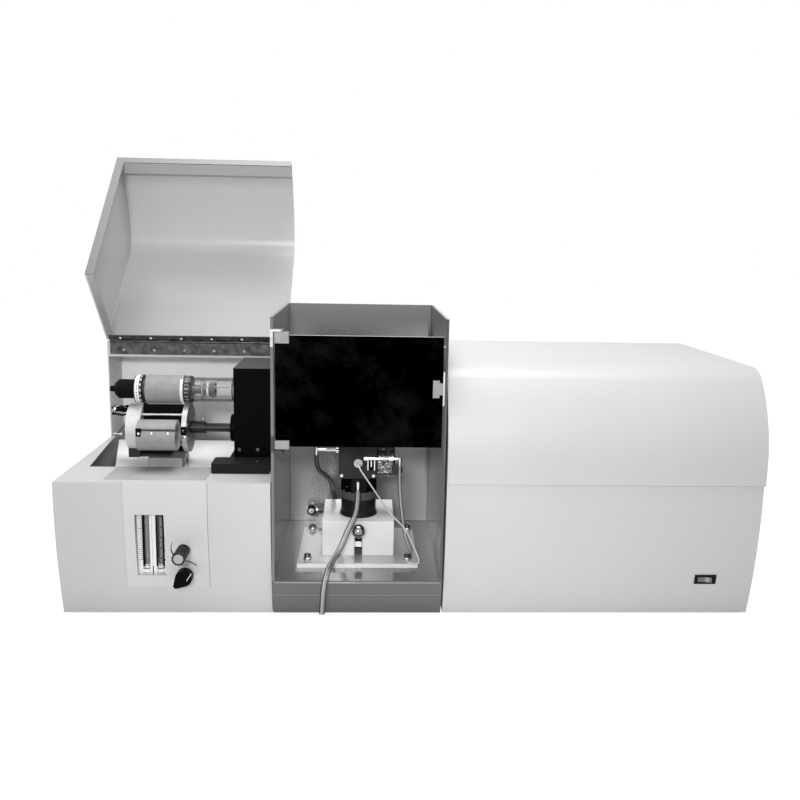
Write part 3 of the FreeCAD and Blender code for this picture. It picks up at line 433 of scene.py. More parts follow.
# Painted shade: the inside of the gas pipes' bracket is near black, with a bright bar down its middle.
bracket_shade = where((-66.4, -57.6), (98, 103), (204, 225.6))
bright_seam = where((-62.8, -61.2), (98, 103), (213, 222))
pipe_metal = metal("pipe_metal", 0.8, 0.14, lines=FINE_TURNED, depth=0.02, patches=[
    (bracket_shade, 0.01), (bright_seam, 0.9)])
ball_foot, ball_groove = where(z=(90, 101.5)), where(z=(101.5, 106))
spun = metal("spun_metal", 0.34, 0.16, lines=(200.0, 200.0, 200.0), depth=0.04, spread=0.3, patches=[
    (ball_foot, 0.8), (ball_groove, 0.004)])
print("with metals", len(bpy.data.materials))

# %% Dull castings of the turret
clamp_end = where(x=(-360.2, -355.5), z=(300, 345))
clamp_grey = metal("clamp_grey", 0.30, 0.5, metallic=0.0, Specular_IOR_Level=0.25, depth=0.05, patches=[
    (clamp_end, 0.85)])
EVEN = (60, 60, 60)
ring_grey = metal("ring_grey", 0.68, 0.5, metallic=0.0, Specular_IOR_Level=0.3, lines=EVEN, depth=0.05)
disc_back = where(x=(-348.2, -340))
disc_metal = metal("disc_metal", 0.6, 0.35, metallic=0.4, lines=(900, 60, 60), patches=[(disc_back, 0.05)])
# Painted shade: the saddle under the turret's ring is near black, where the ring shades it.
saddle = where((-442, -379), (110, 158), (222.1, 245))
fixture = metal("fixture_grey", 0.34, 0.45, metallic=0.0, Specular_IOR_Level=0.3, patches=[(saddle, 0.02)])
print("with castings", len(bpy.data.materials))

# %% [markdown]
# ## Plastics and rubber
# Moulded parts have a fine even grain and little sheen, and the black ones show almost no colour at all.
# The knob's ribs and the skirt at its back carry painted highlights: lighter dashes round its axis and a
# pale band. The lamp collars' marks and the rings of the mixing chamber are only differences of grey on a
# round part, so masks of dashes round an axis draw them without any new mesh.


# %% Plastic
def plastic(name, grey, rough, grain=1200.0, depth=0.15, patches=(), **plain):
    f = Finish(name, grey, **plain)
    broad = f.noise(35.0, 3.0)
    tone = f.ramp(broad, [(0.3, grey * 0.9), (0.7, grey * 1.1)])
    f.put("Base Color", f.patched(tone, patches))
    f.put("Roughness", (broad - 0.5) * 0.15 + rough)
    f.bump(f.noise(grain, 2.0), depth, 0.0001)
    return f.material


black_plastic = plastic("black_plastic", 0.004, 0.4, Specular_IOR_Level=0.12)
dull_black = plastic("dull_black", 0.003, 0.6, Specular_IOR_Level=0.06)
gloss_black = plastic("gloss_black", 0.010, 0.25, Specular_IOR_Level=0.3)
knob_black = plastic("knob_black", 0.002, 0.4, Specular_IOR_Level=0.05)
block_plastic = plastic("burner_block_plastic", 0.022, 0.5, Specular_IOR_Level=0.2)
grey_plastic = plastic("grey_plastic", 0.16, 0.45)
lamp_grey = plastic("lamp_grey", 0.09, 0.4)
frame_grey = plastic("frame_grey", 0.06, 0.4)
white_plastic = plastic("white_plastic", 0.84, 0.35)
pale_tube = plastic("pale_tube", 0.62, 0.3)
# Painted shade: a grey for sheets laid where there is only shade, on the ledge and in the flowmeters'
# channels.
shade_grey = plastic("shade_grey", 0.36, 0.6)
circuit_board = plastic("circuit_board", 0.1, 0.5)
rubber = plastic("rubber", 0.02, 0.6, grain=700.0, depth=0.3)
hose_rubber = plastic("hose_rubber", 0.05, 0.25, grain=500.0)
print("with plain plastics", len(bpy.data.materials))

# %% Plastics with rings and dashes
# Painted highlights on the valve knob: lighter dashes along its ribs and a pale band on the skirt at its
# back; the end cap is its own light grey.
knob_rib_highlights = both(where(y=(-45.8, -10)), dashes(RIGHT, (VALVE[RIGHT], VALVE[UP]), 12, 0.3))
knob_skirt_highlight, knob_cap = where(y=(-9.8, -3)), where(y=(-46.6, -46.2))
valve_plastic = plastic("valve_plastic", 0.003, 0.4, Specular_IOR_Level=0.08, patches=[
    (knob_rib_highlights, 0.03), (knob_skirt_highlight, 0.8), (knob_cap, 0.42)])
rocker_plastic = plastic("rocker_plastic", 0.13, 0.3, patches=[(where(x=(446, 452)), 0.3)])
mixer_neck, mixer_ring, mixer_foot = where(z=(167.8, 193)), where(z=(155.2, 167.8)), where(z=(84, 128))
mixer_plastic = plastic("mixer_plastic", 0.012, 0.3, Specular_IOR_Level=0.12, patches=[
    (mixer_neck, 0.0008), (mixer_ring, 0.085), (mixer_foot, 0.01)])
shaft_collar = where((-346, -262), (120, 131), (263, 275))
shaft_black = plastic("shaft_black", 0.004, 0.3, Specular_IOR_Level=0.35, patches=[(shaft_collar, 0.02)])


def lamp_dashes(left, right, count, share):
    return both(where(x=(left, right)), dashes(BACK, LAMP[BACK:], count, share))


collar_plastic = plastic("collar_plastic", 0.84, 0.35, patches=[
    (where(x=(-432, -429.6)), 0.01),
    (lamp_dashes(-427.4, -425.2, 26, 0.3), 0.12),
    (where(x=(-423, -415)), 0.006),
    (lamp_dashes(-422, -420, 16, 0.36), 0.8),
    (where(x=(-355.6, -344)), 0.008),
    (lamp_dashes(-353.4, -347.6, 22, 0.42), 0.28),
    (lamp_dashes(-351.6, -349.4, 33, 0.5), 0.01),
])
print("with marked plastics", len(bpy.data.materials))

# %% [markdown]
# ## Glass
# Clear things are nearly all edge: where their skin turns away from the eye it is dense, and where it
# faces the eye it lets the parts behind show. A ramp on the facing value gives both, as grey and as
# alpha. The chamber's door is smoked so dark that only faint reflections and its lit top edge show; both
# are painted, the reflections as clouds of grey and the top edge as a light band. The soft tubing carries
# one painted highlight, a white streak down the side that faces the flash.


# %% Glass, smoked door and soft tubing
def glass(name, grey, rough, face, edge, greys, **plain):
    """A clear skin from its alpha at the face and at the edge, and its greys from face to edge."""
    f = Finish(name, grey, Roughness=rough, **plain)
    f.put("Base Color", f.ramp(f.facing(), greys))
    f.put("Alpha", f.ramp(f.facing(), [(0.0, face), (0.55, face + (edge - face) * 0.3), (0.95, edge)]))
    return f.material


def smoked_glass():
    f = Finish("smoked_glass", 0.0008, Roughness=0.05, Specular_IOR_Level=0.0)
    # Painted reflections: faint clouds of grey on the near-black glass.
    painted_reflections = f.ramp(f.noise(14.0, 5.0, 0.7), [(0.48, 0.0001), (0.72, 0.007)])
    # Painted highlight: a light band along the door's top edge.
    top_edge = where(z=(429.2, 430))
    f.put("Base Color", f.patched(painted_reflections, [(top_edge, 0.5)]))
    return f.material


def soft_tubing():
    f = Finish("clear_tube", 0.5, Roughness=0.12, Specular_IOR_Level=0.2)
    skin = f.ramp(f.facing(), [(0.0, 0.45), (0.2, 0.3), (0.32, 0.08), (0.7, 0.02), (1.0, 0.01)])
    # Painted highlight: a white streak down the side whose normal points a little to the left, towards the
    # flash.
    outward = f.node("ShaderNodeNewGeometry", {}, {}, "Normal")
    rightward = f.node("ShaderNodeSeparateXYZ", {}, {0: outward}, RIGHT)
    streak = rightward.within(-0.34, -0.14)
    f.put("Base Color", f.mix(streak, skin, 0.95))
    f.put("Alpha", f.ramp(f.facing(), [(0.35, 0.5), (0.8, 0.95)]))
    return f.material


dark_glass = smoked_glass()
clear_glass = glass("lamp_glass", 0.75, 0.06, 0.03, 0.8, [(0.0, 0.5), (0.4, 0.15), (1.0, 0.01)],
                    Specular_IOR_Level=0.08)
soft_tube = soft_tubing()
sight_glass = glass("sight_glass", 0.3, 0.06, 0.35, 0.9, [(0.0, 0.5), (0.5, 0.3), (1.0, 0.03)],
                    Specular_IOR_Level=0.2)
print("all finishes", len(bpy.data.materials))

# %% [markdown]
# ## Finishes for the CAD pieces
# A CAD node keeps its mesh, and only its material slot is filled here. The list goes from finish to
# pieces, as a paint shop sorts its work, and what it forgets is printed.

# %% Assign finishes
finishes = {
    base_paint: "left_base",
    shell_paint: "right_base right_cover rear_panel_right rear_panel_left rear_housing_left rear_bridge",
    bay_paint: "lamp_bay_back lamp_bay_floor",
    lid_paint: "lamp_lid",
    panel_film: "control_panel",
    chamber_paint: "flame_chamber",
    plate_enamel: "burner_base_plate burner_box",
    black_paint: "beam_block",
    hinge_steel: "hinge_leaf_fixed hinge_leaf_lid",
    hinge_plate: "door_hinges",
    steel: "turret_rods_and_screws burner_head chamber_fittings",
    pipe_metal: "gas_pipes",
    knob_metal: "nebulizer_knob",
    white_plastic: "flowmeters door_strike",
    fixture: "door_clamps door_catch_plate optical_bed grating_table turret_supports",
    ring_grey: "turret_ring",
    clamp_grey: "lamp_clamps",
    disc_metal: "turret_disc",
    dull_black: "turret_cross lamp_socket",
    mixer_plastic: "mixing_chamber",
    bright: "float_air float_fuel",
    spun: "height_knob",
    shaft_black: "turret_shaft",
    gloss_black: "monochromator_case",
    knob_black: "selector_knob",
    dark_glass: "flame_door_glass",
    clear_glass: "lamp_envelope beam_lens",
    black_plastic: "switch_bezel fan_rotor",
    valve_plastic: "valve_knob",
    rocker_plastic: "switch_rocker",
    block_plastic: "burner_block",
    grey_plastic: "photomultiplier",
    lamp_grey: "lamp_electrodes",
    collar_plastic: "lamp_collars",
    rubber: "lid_stops feet",
    circuit_board: "electronics",
    soft_tube: "drain_hose sample_capillary air_hose",
    hose_rubber: "fuel_hose",
}
dressed = set()
for material, names in finishes.items():
    for name in names.split():
        mesh = nodes[name].data
        mesh.materials.clear()
        mesh.materials.append(material)
        dressed.add(name)
print("bare nodes", sorted(set(nodes) - dressed))

# %% [markdown]
# ## Making new pieces
# Every added part is built with bmesh operators in front millimetres and becomes one object at the
# origin. It rides on the body it is fixed to, so that it moves with that body's joint.


# %% Finished pieces
def piece(name, bm, material, body, smooth=35):
    """A finished mesh that rides on a body, in one material slot of the record."""
    bmesh.ops.recalc_face_normals(bm, faces=bm.faces)
    mesh = bpy.data.meshes.new(name)
    bm.to_mesh(mesh)
    bm.free()
    mesh.materials.append(material)
    obj = bpy.data.objects.new(name, mesh)
    bpy.context.scene.collection.objects.link(obj)
    mesh.shade_smooth()
    mesh.set_sharp_from_angle(angle=math.radians(smooth))
    if body:
        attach(obj, body)
    print(name, "faces", len(mesh.polygons))
    return obj


def grown_vertices(result):
    """The new vertices among what an extrusion returns."""
    return [g for g in result["geom"] if isinstance(g, bmesh.types.BMVert)]


# %% [markdown]
# ## Turned and milled shapes
# A lathe part could be a cylinder primitive, but a spun profile gets its steps and chamfers in one go.
# A milled part is a cube stretched to its limits, with its edges broken by a bevel, because no real
# edge is sharp enough to lose its highlight.


# %% Lathe and mill
def aimed(at, way):
    """The matrix that stands local Z along a direction at a place."""
    turn = Vector((0, 0, 1)).rotation_difference(Vector(way).normalized())
    return Matrix.Translation(spot(*at)) @ turn.to_matrix().to_4x4()


def turned(bm, profile, at, way=(0, 0, 1), steps=24):
    """A lathe part: a profile of (height, radius) pairs spun once round."""
    verts = [bm.verts.new((r * MM, 0, h * MM)) for h, r in profile]
    edges = [bm.edges.new(pair) for pair in zip(verts, verts[1:])]
    old = set(bm.verts) - set(verts)
    spin = {"cent": (0, 0, 0), "axis": (0, 0, 1), "angle": 2 * math.pi, "steps": steps, "use_merge": True}
    bmesh.ops.spin(bm, geom=verts + edges, **spin)
    new = [v for v in bm.verts if v not in old]
    bmesh.ops.remove_doubles(bm, verts=new, dist=1e-7)
    new = [v for v in bm.verts if v not in old]
    bmesh.ops.transform(bm, matrix=aimed(at, way), verts=new)
    return bm


def washer(bm, inner, outer, thick, at, way=(0, 0, 1), steps=32):
    """A flat ring that stands on a place."""
    profile = [(0, inner), (0, outer), (thick, outer), (thick, inner), (0, inner)]
    return turned(bm, profile, at, way, steps)


PLAIN, FINE, SHARP = 0.3, 0.1, 0.0


def slab(bm, x, y, z, bevel=PLAIN):
    """A block between limits along the three axes; FINE edges are for strips of a millimetre or less."""
    new = bmesh.ops.create_cube(bm, size=1.0)["verts"]
    size = [(high - low) * MM for low, high in (x, y, z)]
    centre = spot(*[(low + high) / 2 for low, high in (x, y, z)])
    bmesh.ops.transform(bm, matrix=Matrix.Translation(centre) @ Matrix.Diagonal((*size, 1.0)), verts=new)
    if bevel:
        edges = list({e for v in new for e in v.link_edges})
        broken = {"offset": bevel * MM, "segments": 2, "profile": 0.5, "affect": "EDGES", "material": -1}
        bmesh.ops.bevel(bm, geom=edges, **broken)
    return bm


# %% [markdown]
# ## Screw heads
# A slot could be cut with a boolean, which is slow and leaves untidy faces. Here the head is built from
# two sectors, or four for a cross, that stand apart on a thin disc, so that the slot is a real groove
# with a floor. Each head is turned differently, as nobody lines them up.

# %% Screws
SLOT_SHARE = 0.16
TOP_TAPER = 0.84
DISC_SHARE = 0.97
DISC_HEIGHT = 0.35
SECTOR_STEPS = 8


def screw(bm, at, way, radius, height, turn=0.4, parts=2):
    """A screw head in two or four sectors over a thin disc."""
    place = aimed(at, way) @ Matrix.Rotation(turn, 4, "Z")
    gap = SLOT_SHARE * radius
    first = math.asin(SLOT_SHARE)
    span = (2 * math.pi / parts - 2 * first) / SECTOR_STEPS
    rim = [first + span * i for i in range(SECTOR_STEPS + 1)]
    outline = [(radius * math.cos(a), radius * math.sin(a)) for a in rim]
    if parts == 4:
        outline.append((gap, gap))
    for k in range(parts):
        face = bm.faces.new([bm.verts.new((x * MM, y * MM, 0)) for x, y in outline])
        top = grown_vertices(bmesh.ops.extrude_face_region(bm, geom=[face]))
        bmesh.ops.translate(bm, vec=(0, 0, height * MM), verts=top)
        bmesh.ops.transform(bm, matrix=Matrix.Diagonal((TOP_TAPER, TOP_TAPER, 1.0, 1.0)), verts=top)
        sector = list({*top, *face.verts})
        step = Matrix.Rotation(2 * math.pi * k / parts, 4, "Z")
        bmesh.ops.transform(bm, matrix=place @ step, verts=sector)
    disc, low = radius * DISC_SHARE, height * DISC_HEIGHT
    return turned(bm, [(0, 0), (0, disc), (low, disc), (low, 0)], at, way, 20)


print("shape makers ready")

# %% [markdown]
# ## Hoses
# A soft tube keeps its length and hangs under its own weight. A NURBS curve through a route's corner
# points gives its line, because that has no kinks anywhere. The tube itself is a ring that is extruded
# from station to station along that line.


# %% Lines through points
def centre_line(points):
    """A smooth line through a route, read from a NURBS curve without any bevel, in metres."""
    curve = bpy.data.curves.new("route", "CURVE")
    curve.dimensions = "3D"
    spline = curve.splines.new("NURBS")
    spline.points.add(len(points) - 1)
    for p, corner in zip(spline.points, points):
        p.co = (*spot(*corner), 1.0)
    spline.order_u = 3
    spline.use_endpoint_u = True
    spline.resolution_u = 8
    holder = bpy.data.objects.new("route", curve)
    bpy.context.scene.collection.objects.link(holder)
    bpy.context.view_layer.update()
    mesh = bpy.data.meshes.new_from_object(holder)
    line = [v.co.copy() for v in mesh.vertices]
    bpy.data.objects.remove(holder)
    bpy.data.meshes.remove(mesh)
    return line


def stations(line):
    """One frame per point of a line, each turned as little as possible from the one before it."""
    last = len(line) - 1
    ways = [(line[min(i + 1, last)] - line[max(i - 1, 0)]).normalized() for i in range(len(line))]
    turn = Vector((0, 0, 1)).rotation_difference(ways[0]).to_matrix()
    frames = []
    for i, (at, way) in enumerate(zip(line, ways)):
        if i:
            turn = ways[i - 1].rotation_difference(way).to_matrix() @ turn
        frames.append(Matrix.Translation(at) @ turn.to_4x4())
    return frames


def sweep(bm, line, radius, sides=16):
    """A round tube along a line: one circle, extruded through the line's stations and closed at both ends."""
    frames = stations(line)
    ring = bmesh.ops.create_circle(bm, radius=radius, segments=sides, cap_ends=False)["verts"]
    bmesh.ops.transform(bm, matrix=frames[0], verts=ring)
    edges = first = list({e for v in ring for e in v.link_edges})
    for before, after in zip(frames, frames[1:]):
        grown = bmesh.ops.extrude_edge_only(bm, edges=edges)
        edges = [g for g in grown["geom"] if isinstance(g, bmesh.types.BMEdge)]
        bmesh.ops.transform(bm, matrix=after @ before.inverted(), verts=grown_vertices(grown))
    bmesh.ops.contextual_create(bm, geom=first)
    bmesh.ops.contextual_create(bm, geom=edges)
    return bm


def wire(bm, points, radius, smooth=True):
    """A thin rod or bent wire through points in front millimetres."""
    line = centre_line(points) if smooth else [spot(*p) for p in points]
    return sweep(bm, line, radius * MM, sides=8)


# %% [markdown]
# ## The four free hoses
# The drain, the sample capillary, the air hose and the fuel hose hang between the burner, which moves,
# and the housing, which doesn't. Each route repeats the CAD solid's corners. Two of them are named for
# each hose as where it would start and stop bending, but the tube is one fixed mesh that rides on no body.

# %% Routes
DRAIN = [
    (-82.5, 93, 176), (-82.5, 93, 154.6), (-87, 80, 136), (-96.2, 68, 122.6), (-102.6, 62, 107.6),
    (-109.2, 53.5, 94), (-115.9, 38.5, 86.4), (-122, 17.5, 83.2), (-127.2, -5, 75.5), (-130.9, -17, 59.5),
    (-132, -18.5, 38), (-133, -18.5, 21.5),
]
CAPILLARY = [
    (-82.5, 90, 222), (-82.5, 80, 222), (-80, 72, 217), (-75.5, 71.5, 210), (-64, 75, 192), (-46, 79, 164),
    (-29, 78, 140), (-9, 74, 121.8), (0.8, 70, 103.4), (10.1, 65.3, 84), (14.2, 54.6, 73.3), (9, 47.5, 71.5),
    (0.2, 47.6, 72.5), (-4.4, 55, 72.9),
]
AIR = [
    (-17.2, 97, 215), (-17.2, 97, 196), (-16.2, 96, 174), (-14, 92, 150), (-10.5, 87, 124), (-7, 82.5, 104),
    (-1.5, 79.5, 90), (2.2, 79.5, 81),
]
FUEL = [
    (-150, 134, 223), (-150, 134, 210), (-146.5, 138.5, 196), (-136, 148.8, 186), (-127.5, 163, 171),
    (-124, 182, 154), (-125.5, 205, 141.5), (-121.8, 225, 120), (-115.7, 240, 102.5), (-122.4, 253.2, 92.7),
    (-138.5, 262, 89), (-154, 262, 89),
]
print("route corners", [len(route) for route in (DRAIN, CAPILLARY, AIR, FUEL)])


# %% Lay the hoses
def hose(name, points, radius, material, node, hold):
    """A free tube from its upper end; hold numbers the corners where it would start and stop bending, which
    are looked up but not used.
    """
    line = centre_line(points)
    obj = piece(name, sweep(bmesh.new(), line, radius * MM), material, None, smooth=60)
    start, end = points[hold[0]], points[hold[1]]
    spot(*start)
    spot(*end)
    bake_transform(obj)
    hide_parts(node)


hose("drain_tube", DRAIN, 4.6, soft_tube, "drain_hose", (1, 6))
hose("sample_tube", CAPILLARY, 1.2, pale_tube, "sample_capillary", (3, 8))
hose("air_tube", AIR, 3.0, soft_tube, "air_hose", (1, 6))
hose("fuel_tube", FUEL, 3.7, hose_rubber, "fuel_hose", (1, 7))

# %% [markdown]
# ## The piano hinge's screws
# Both leaves of the lid's hinge are held by a row of six slotted screws. The rows are worked out from
# the leaves' own ends. The lid's leaf has turned with the lid, so its screws point along the leaf's
# turned normal and ride on the lid.

# %% Hinge screws
FORWARD = (0, -1, 0)
UPWARD = (0, 0, 1)
ALONG = (1, 0, 0)
FIXED_LEAF_FACE = (284.05, 369)
LID_LEAF_FACE = (278.96, 390.2)
LID_LEAF_WAY = (0, math.cos(LID_OPENING), -math.sin(LID_OPENING))


def row(leaf, first_in, last_in, count=6):
    """Places for a row of screws along a hinge leaf, the end ones set in from the leaf's two ends."""
    left, right = reach(leaf)[RIGHT]
    pitch = (right - left - first_in - last_in) / (count - 1)
    return [round(left + first_in + pitch * i) for i in range(count)]


bm = bmesh.new()
for i, x in enumerate(row("hinge_leaf_fixed", 25, 20)):
    screw(bm, (x, *FIXED_LEAF_FACE), FORWARD, 2.6, 0.5, turn=0.5 + i)
piece("hinge_screws_fixed", bm, bright, "housing")
bm = bmesh.new()
for i, x in enumerate(row("hinge_leaf_lid", 20, 22)):
    screw(bm, (x, *LID_LEAF_FACE), LID_LEAF_WAY, 2.4, 0.4, turn=0.9 * i)
piece("hinge_screws_lid", bm, bright, "lid")

# %% [markdown]
# ## Beside the beam block
# The black block stands on the front ledge with three blackened screws, and the ledge next to it lies in
# shade under the lamps. That shade is painted with a thin grey sheet, a slab of half a millimetre, placed
# on the base's own top face, so that it can't sink into the ledge or float over it.

# %% Beam block screws and painted shade on the ledge
BLOCK_FACE = 89.4
BLOCK_FOOT_TOP = 230.6
SHADE_THICK = 0.5
bm = bmesh.new()
for i, x in enumerate((-266, -238)):
    screw(bm, (x, BLOCK_FACE, 241), FORWARD, 2.9, 0.5, turn=0.7 + i * 0.2)
screw(bm, (-234.5, 59, BLOCK_FOOT_TOP), UPWARD, 2.9, 0.5, turn=0.3)
piece("beam_block_screws", bm, dark_screw, "housing")
base_top = reach("left_base")[UP][1]
# Painted shade: a grey sheet on the ledge beside the beam block, under the lamps.
ledge_shade = slab(bmesh.new(), (-452, -304), (13, 83.5), (base_top, base_top + SHADE_THICK), FINE)
piece("ledge_shade_sheet", ledge_shade, shade_grey, "housing")

# %% [markdown]
# ## The turret's screws
# Three screws close each split clamp, seen from the front on one and from above on the other. The front
# clamp carries a small black end block, and a second block with a bright tag sits on the end disc. All
# of it rides on the turret, so that it turns with the lamps.

# %% Turret screws, end blocks and tag
SUNK = 0.1
CLAMP_SCREWS = (-409, -390, -366)
END_BLOCK_FACE, TAG_BLOCK_FACE = 49.9, 94.2
clamp_front = reach("lamp_clamps")[BACK][0] + SUNK
clamp_top = reach("lamp_clamps")[UP][1] - SUNK
bm = bmesh.new()
for i, x in enumerate(CLAMP_SCREWS[1:]):
    screw(bm, (x, clamp_front, 274), FORWARD, 2.0, 0.4, turn=0.6 + i)
screw(bm, (CLAMP_SCREWS[0], END_BLOCK_FACE, 274), FORWARD, 2.0, 0.4, turn=1.2)
for i, x in enumerate(CLAMP_SCREWS):
    screw(bm, (x, 142, clamp_top), UPWARD, 2.0, 0.4, turn=0.6 + i)
screw(bm, (-352.8, TAG_BLOCK_FACE, 268.3), FORWARD, 1.9, 0.4, turn=0.2)
slab(bm, (-356.4, -348.4), (94.4, 96.4), (257.2, 259.4), 0.2)
shaft_screw = [(0, 0), (0, 2.6), (0.6, 3.0), (1.8, 3.0), (2.4, 2.4), (2.4, 0)]
turned(bm, shaft_screw, (-329, LAMP[BACK], 279), steps=16)
piece("turret_screws", bm, bright, "turret")
bm = bmesh.new()
slab(bm, (-413.4, -406), (END_BLOCK_FACE, 56), (269.4, 281.4))
slab(bm, (-356.8, -348.2), (TAG_BLOCK_FACE, 98), (261.6, 275))
piece("turret_end_blocks", bm, dull_black, "turret")

# %% [markdown]
# ## Inside the hollow cathode lamp
# Through the glass one sees bright support rods, a white insulating ring and a dark frame of rings and
# wires round it. They all stand on the lamp's axis, so their places are given from that axis.


# %% Inside the lamp
def in_lamp(x, back=0.0, up=0.0):
    """A place at some distance behind and above the lamp's axis."""
    return (x, LAMP[BACK] + back, LAMP[UP] + up)


ROD_BACK = -10
bm = bmesh.new()
for up in (4.5, -11.6):
    wire(bm, [in_lamp(-353, ROD_BACK, up), in_lamp(-300, ROD_BACK, up)], 0.7, smooth=False)
frame_corners = ((-322, 7), (-322, 14), (-298, 14), (-298, 7), (-322, 7))
wire(bm, [in_lamp(x, ROD_BACK, up) for x, up in frame_corners], 0.45, smooth=False)
wire(bm, [in_lamp(-353, 0, 9), in_lamp(-327, 0, 9)], 0.8, smooth=False)
piece("lamp_supports", bm, bright, "turret")
bm = washer(bmesh.new(), 9.2, 15.4, 1.2, in_lamp(-328.4), ALONG)
turned(bm, [(0, 9.4), (0, 11.6), (3.0, 12.2), (3.0, 10.4), (0, 9.4)], in_lamp(-321), ALONG, 32)
piece("lamp_spacer", bm, white_plastic, "turret")
bm = washer(bmesh.new(), 15.4, 17.0, 0.9, in_lamp(-328.8), ALONG)
turned(bm, [(0, 14.8), (0, 17.2), (2.2, 17.2), (2.2, 16.2), (0, 14.8)], in_lamp(-281.6), ALONG, 32)
for back, up in ((-14, 6), (-14, -8.4), (-8, 16.2)):
    wire(bm, [in_lamp(-340, back, up), in_lamp(-284, back, up)], 0.45, smooth=False)
washer(bm, 9.4, 12.6, 6.0, in_lamp(-314.6), ALONG)
piece("lamp_inner_frame", bm, frame_grey, "turret")

# %% [markdown]
# ## Wiring
# A wire tie loops round the pedestal, and behind the turret a bundle of leads runs to the sockets: black,
# grey and a few bare ones. Drawing every lead by hand would look combed. Each one follows the same few
# stations with a random stray at each, from a seed, so that the bundle comes out the same every time.

# %% Wiring beside and under the turret
LEAD_SEED = 4
DARK_LEADS, GREY_LEADS = 11, 5
tie = [(-357.5, 111, 206.4), (-358.3, 111, 216), (-356, 111.5, 225), (-352.5, 111.5, 225), (-349.6, 111, 216),
       (-350, 111, 206.4)]
piece("tie_wire", wire(bmesh.new(), tie, 0.5), gloss_black, "housing")
rng = random.Random(LEAD_SEED)
bm = bmesh.new()
for k in range(DARK_LEADS):
    y, z = 151 + 3 * (k % 5), 284 + 1.1 * k
    route = [(-477, y, z - 2), (-470, y + 1, z + rng.uniform(-3, 4)), (-461, y - 2, z + rng.uniform(-5, 5))]
    route += [(-452, y, z + rng.uniform(-5, 4)), (-443, y + 6, z - 4), (-434, y + 12, z - 8)]
    wire(bm, route, 1.1 if k % 3 else 0.7)
piece("lamp_leads_dark", bm, dull_black, "housing")
bm = bmesh.new()
for k in range(GREY_LEADS):
    y = 156 + 3 * k
    route = [(-474 + 3 * k, y, 246 + 2 * k), (-464, y, 258 + rng.uniform(-4, 4)), (-456, y + 2, 266 + 2 * k)]
    wire(bm, route + [(-446, y + 2, 262 + 3 * k), (-434, y + 4, 256 + 3 * k)], 0.9)
piece("lamp_leads_grey", bm, grey_plastic, "housing")
bm = bmesh.new()
wire(bm, [(-475, 150, 250), (-469, 150, 251), (-464, 150, 249), (-462, 150, 252)], 1.6)
wire(bm, [(-476, 150, 287), (-470, 149, 296), (-464, 149, 297)], 0.8)
wire(bm, [(-471, 148, 294), (-469, 147, 290), (-472, 147, 288)], 0.8)
slab(bm, (-452.5, -447.5), (150, 153), (268.5, 273))
piece("lamp_leads_bright", bm, bright, "housing")

# %% [markdown]
# ## The flowmeters
# Behind the panel's window stand two flowmeters. Each is a white moulded body with a deep channel, and
# in the channel a glass tube holds its float, with a stepped fitting at its foot. The CAD bodies are
# bored blocks. A boolean could cut the channels, but slabs set round them keep clean bevelled edges, so
# the body is made new from slabs and replaces the blocks. The floats stay where they are.

# %% Flowmeter bodies
AIR_X, FUEL_X = tubes = [middle(name)[RIGHT] for name in ("float_air", "float_fuel")]
TUBE_Y = middle("float_air")[BACK]
FITTING_Y = 20
face, rear = reach("flowmeters")[BACK]
foot, head = reach("flowmeters")[UP]
HALF = 9.4
CHANNEL_REAR = 27
LINING = (CHANNEL_REAR - 0.4, CHANNEL_REAR + 0.3)
FITTING_TOP = 82
BETWEEN = (AIR_X + FUEL_X) / 2
channels = ((AIR_X, 4.7, 6.0), (FUEL_X, 4.4, 7.3))
bm = bmesh.new()
for cx, left, right in channels:
    slab(bm, (cx - HALF, cx + HALF), (CHANNEL_REAR + 0.2, rear), (foot, head))
    slab(bm, (cx - HALF, cx - left), (face, CHANNEL_REAR), (foot, head))
    slab(bm, (cx + right, cx + HALF), (face, CHANNEL_REAR), (foot, head))
    slab(bm, (cx - left, cx + right), (face + 2.5, CHANNEL_REAR), (head - 5.5, head))
body = piece("flowmeter_bodies", bm, white_plastic, "housing")
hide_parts("flowmeters")

# %% [markdown]
# ## Strips in the window
# The window reads as light and dark bars: white edges, dark slits between body and tube, and a grey
# channel floor. The dark slits and the grey floor are painted shadow and shade: thin strips set those bars
# at the widths that the real ones have, which a shadow in so narrow a slit would not do by itself. A few
# small studs stand along the right one.

# %% Strips and studs of the flowmeters
SCALE_FOOT = 92
STUDS, STUD_PITCH = 5, 15
bm = slab(bmesh.new(), (AIR_X - 14.4, AIR_X - 9.7), (13, 30), (foot, head))
slab(bm, (BETWEEN - 0.6, BETWEEN + 0.6), (13, 30), (FITTING_TOP, head), FINE)
piece("flowmeter_side_strips", bm, white_plastic, "housing")
# Painted shadow: black strips in the slits beside the tubes and behind the fuel tube, with the studs along
# it.
bm = bmesh.new()
slab(bm, (AIR_X - 4.75, AIR_X - 2.6), (12.6, 17), (FITTING_TOP, head), FINE)
slab(bm, (FUEL_X - 5.2, FUEL_X - 4.2), (11.2, 17), (FITTING_TOP, head), FINE)
slab(bm, (FUEL_X - 0.4, FUEL_X + 7.4), LINING, (foot, head), FINE)
slab(bm, (FUEL_X + 4.4, FUEL_X + 7.4), (12.0, 27), (FITTING_TOP, head), FINE)
slab(bm, (BETWEEN - 0.7, BETWEEN + 0.7), (12.4, 13.4), (foot, FITTING_TOP), FINE)
for k in range(STUDS):
    place = (FUEL_X + 7.4, 12.4, SCALE_FOOT + STUD_PITCH * k)
    turned(bm, [(0, 0), (0, 1.5), (1.6, 1.1), (1.6, 0)], place, way=(-0.3, -1, 0), steps=10)
piece("flowmeter_shadow_strips", bm, dull_black, "housing")
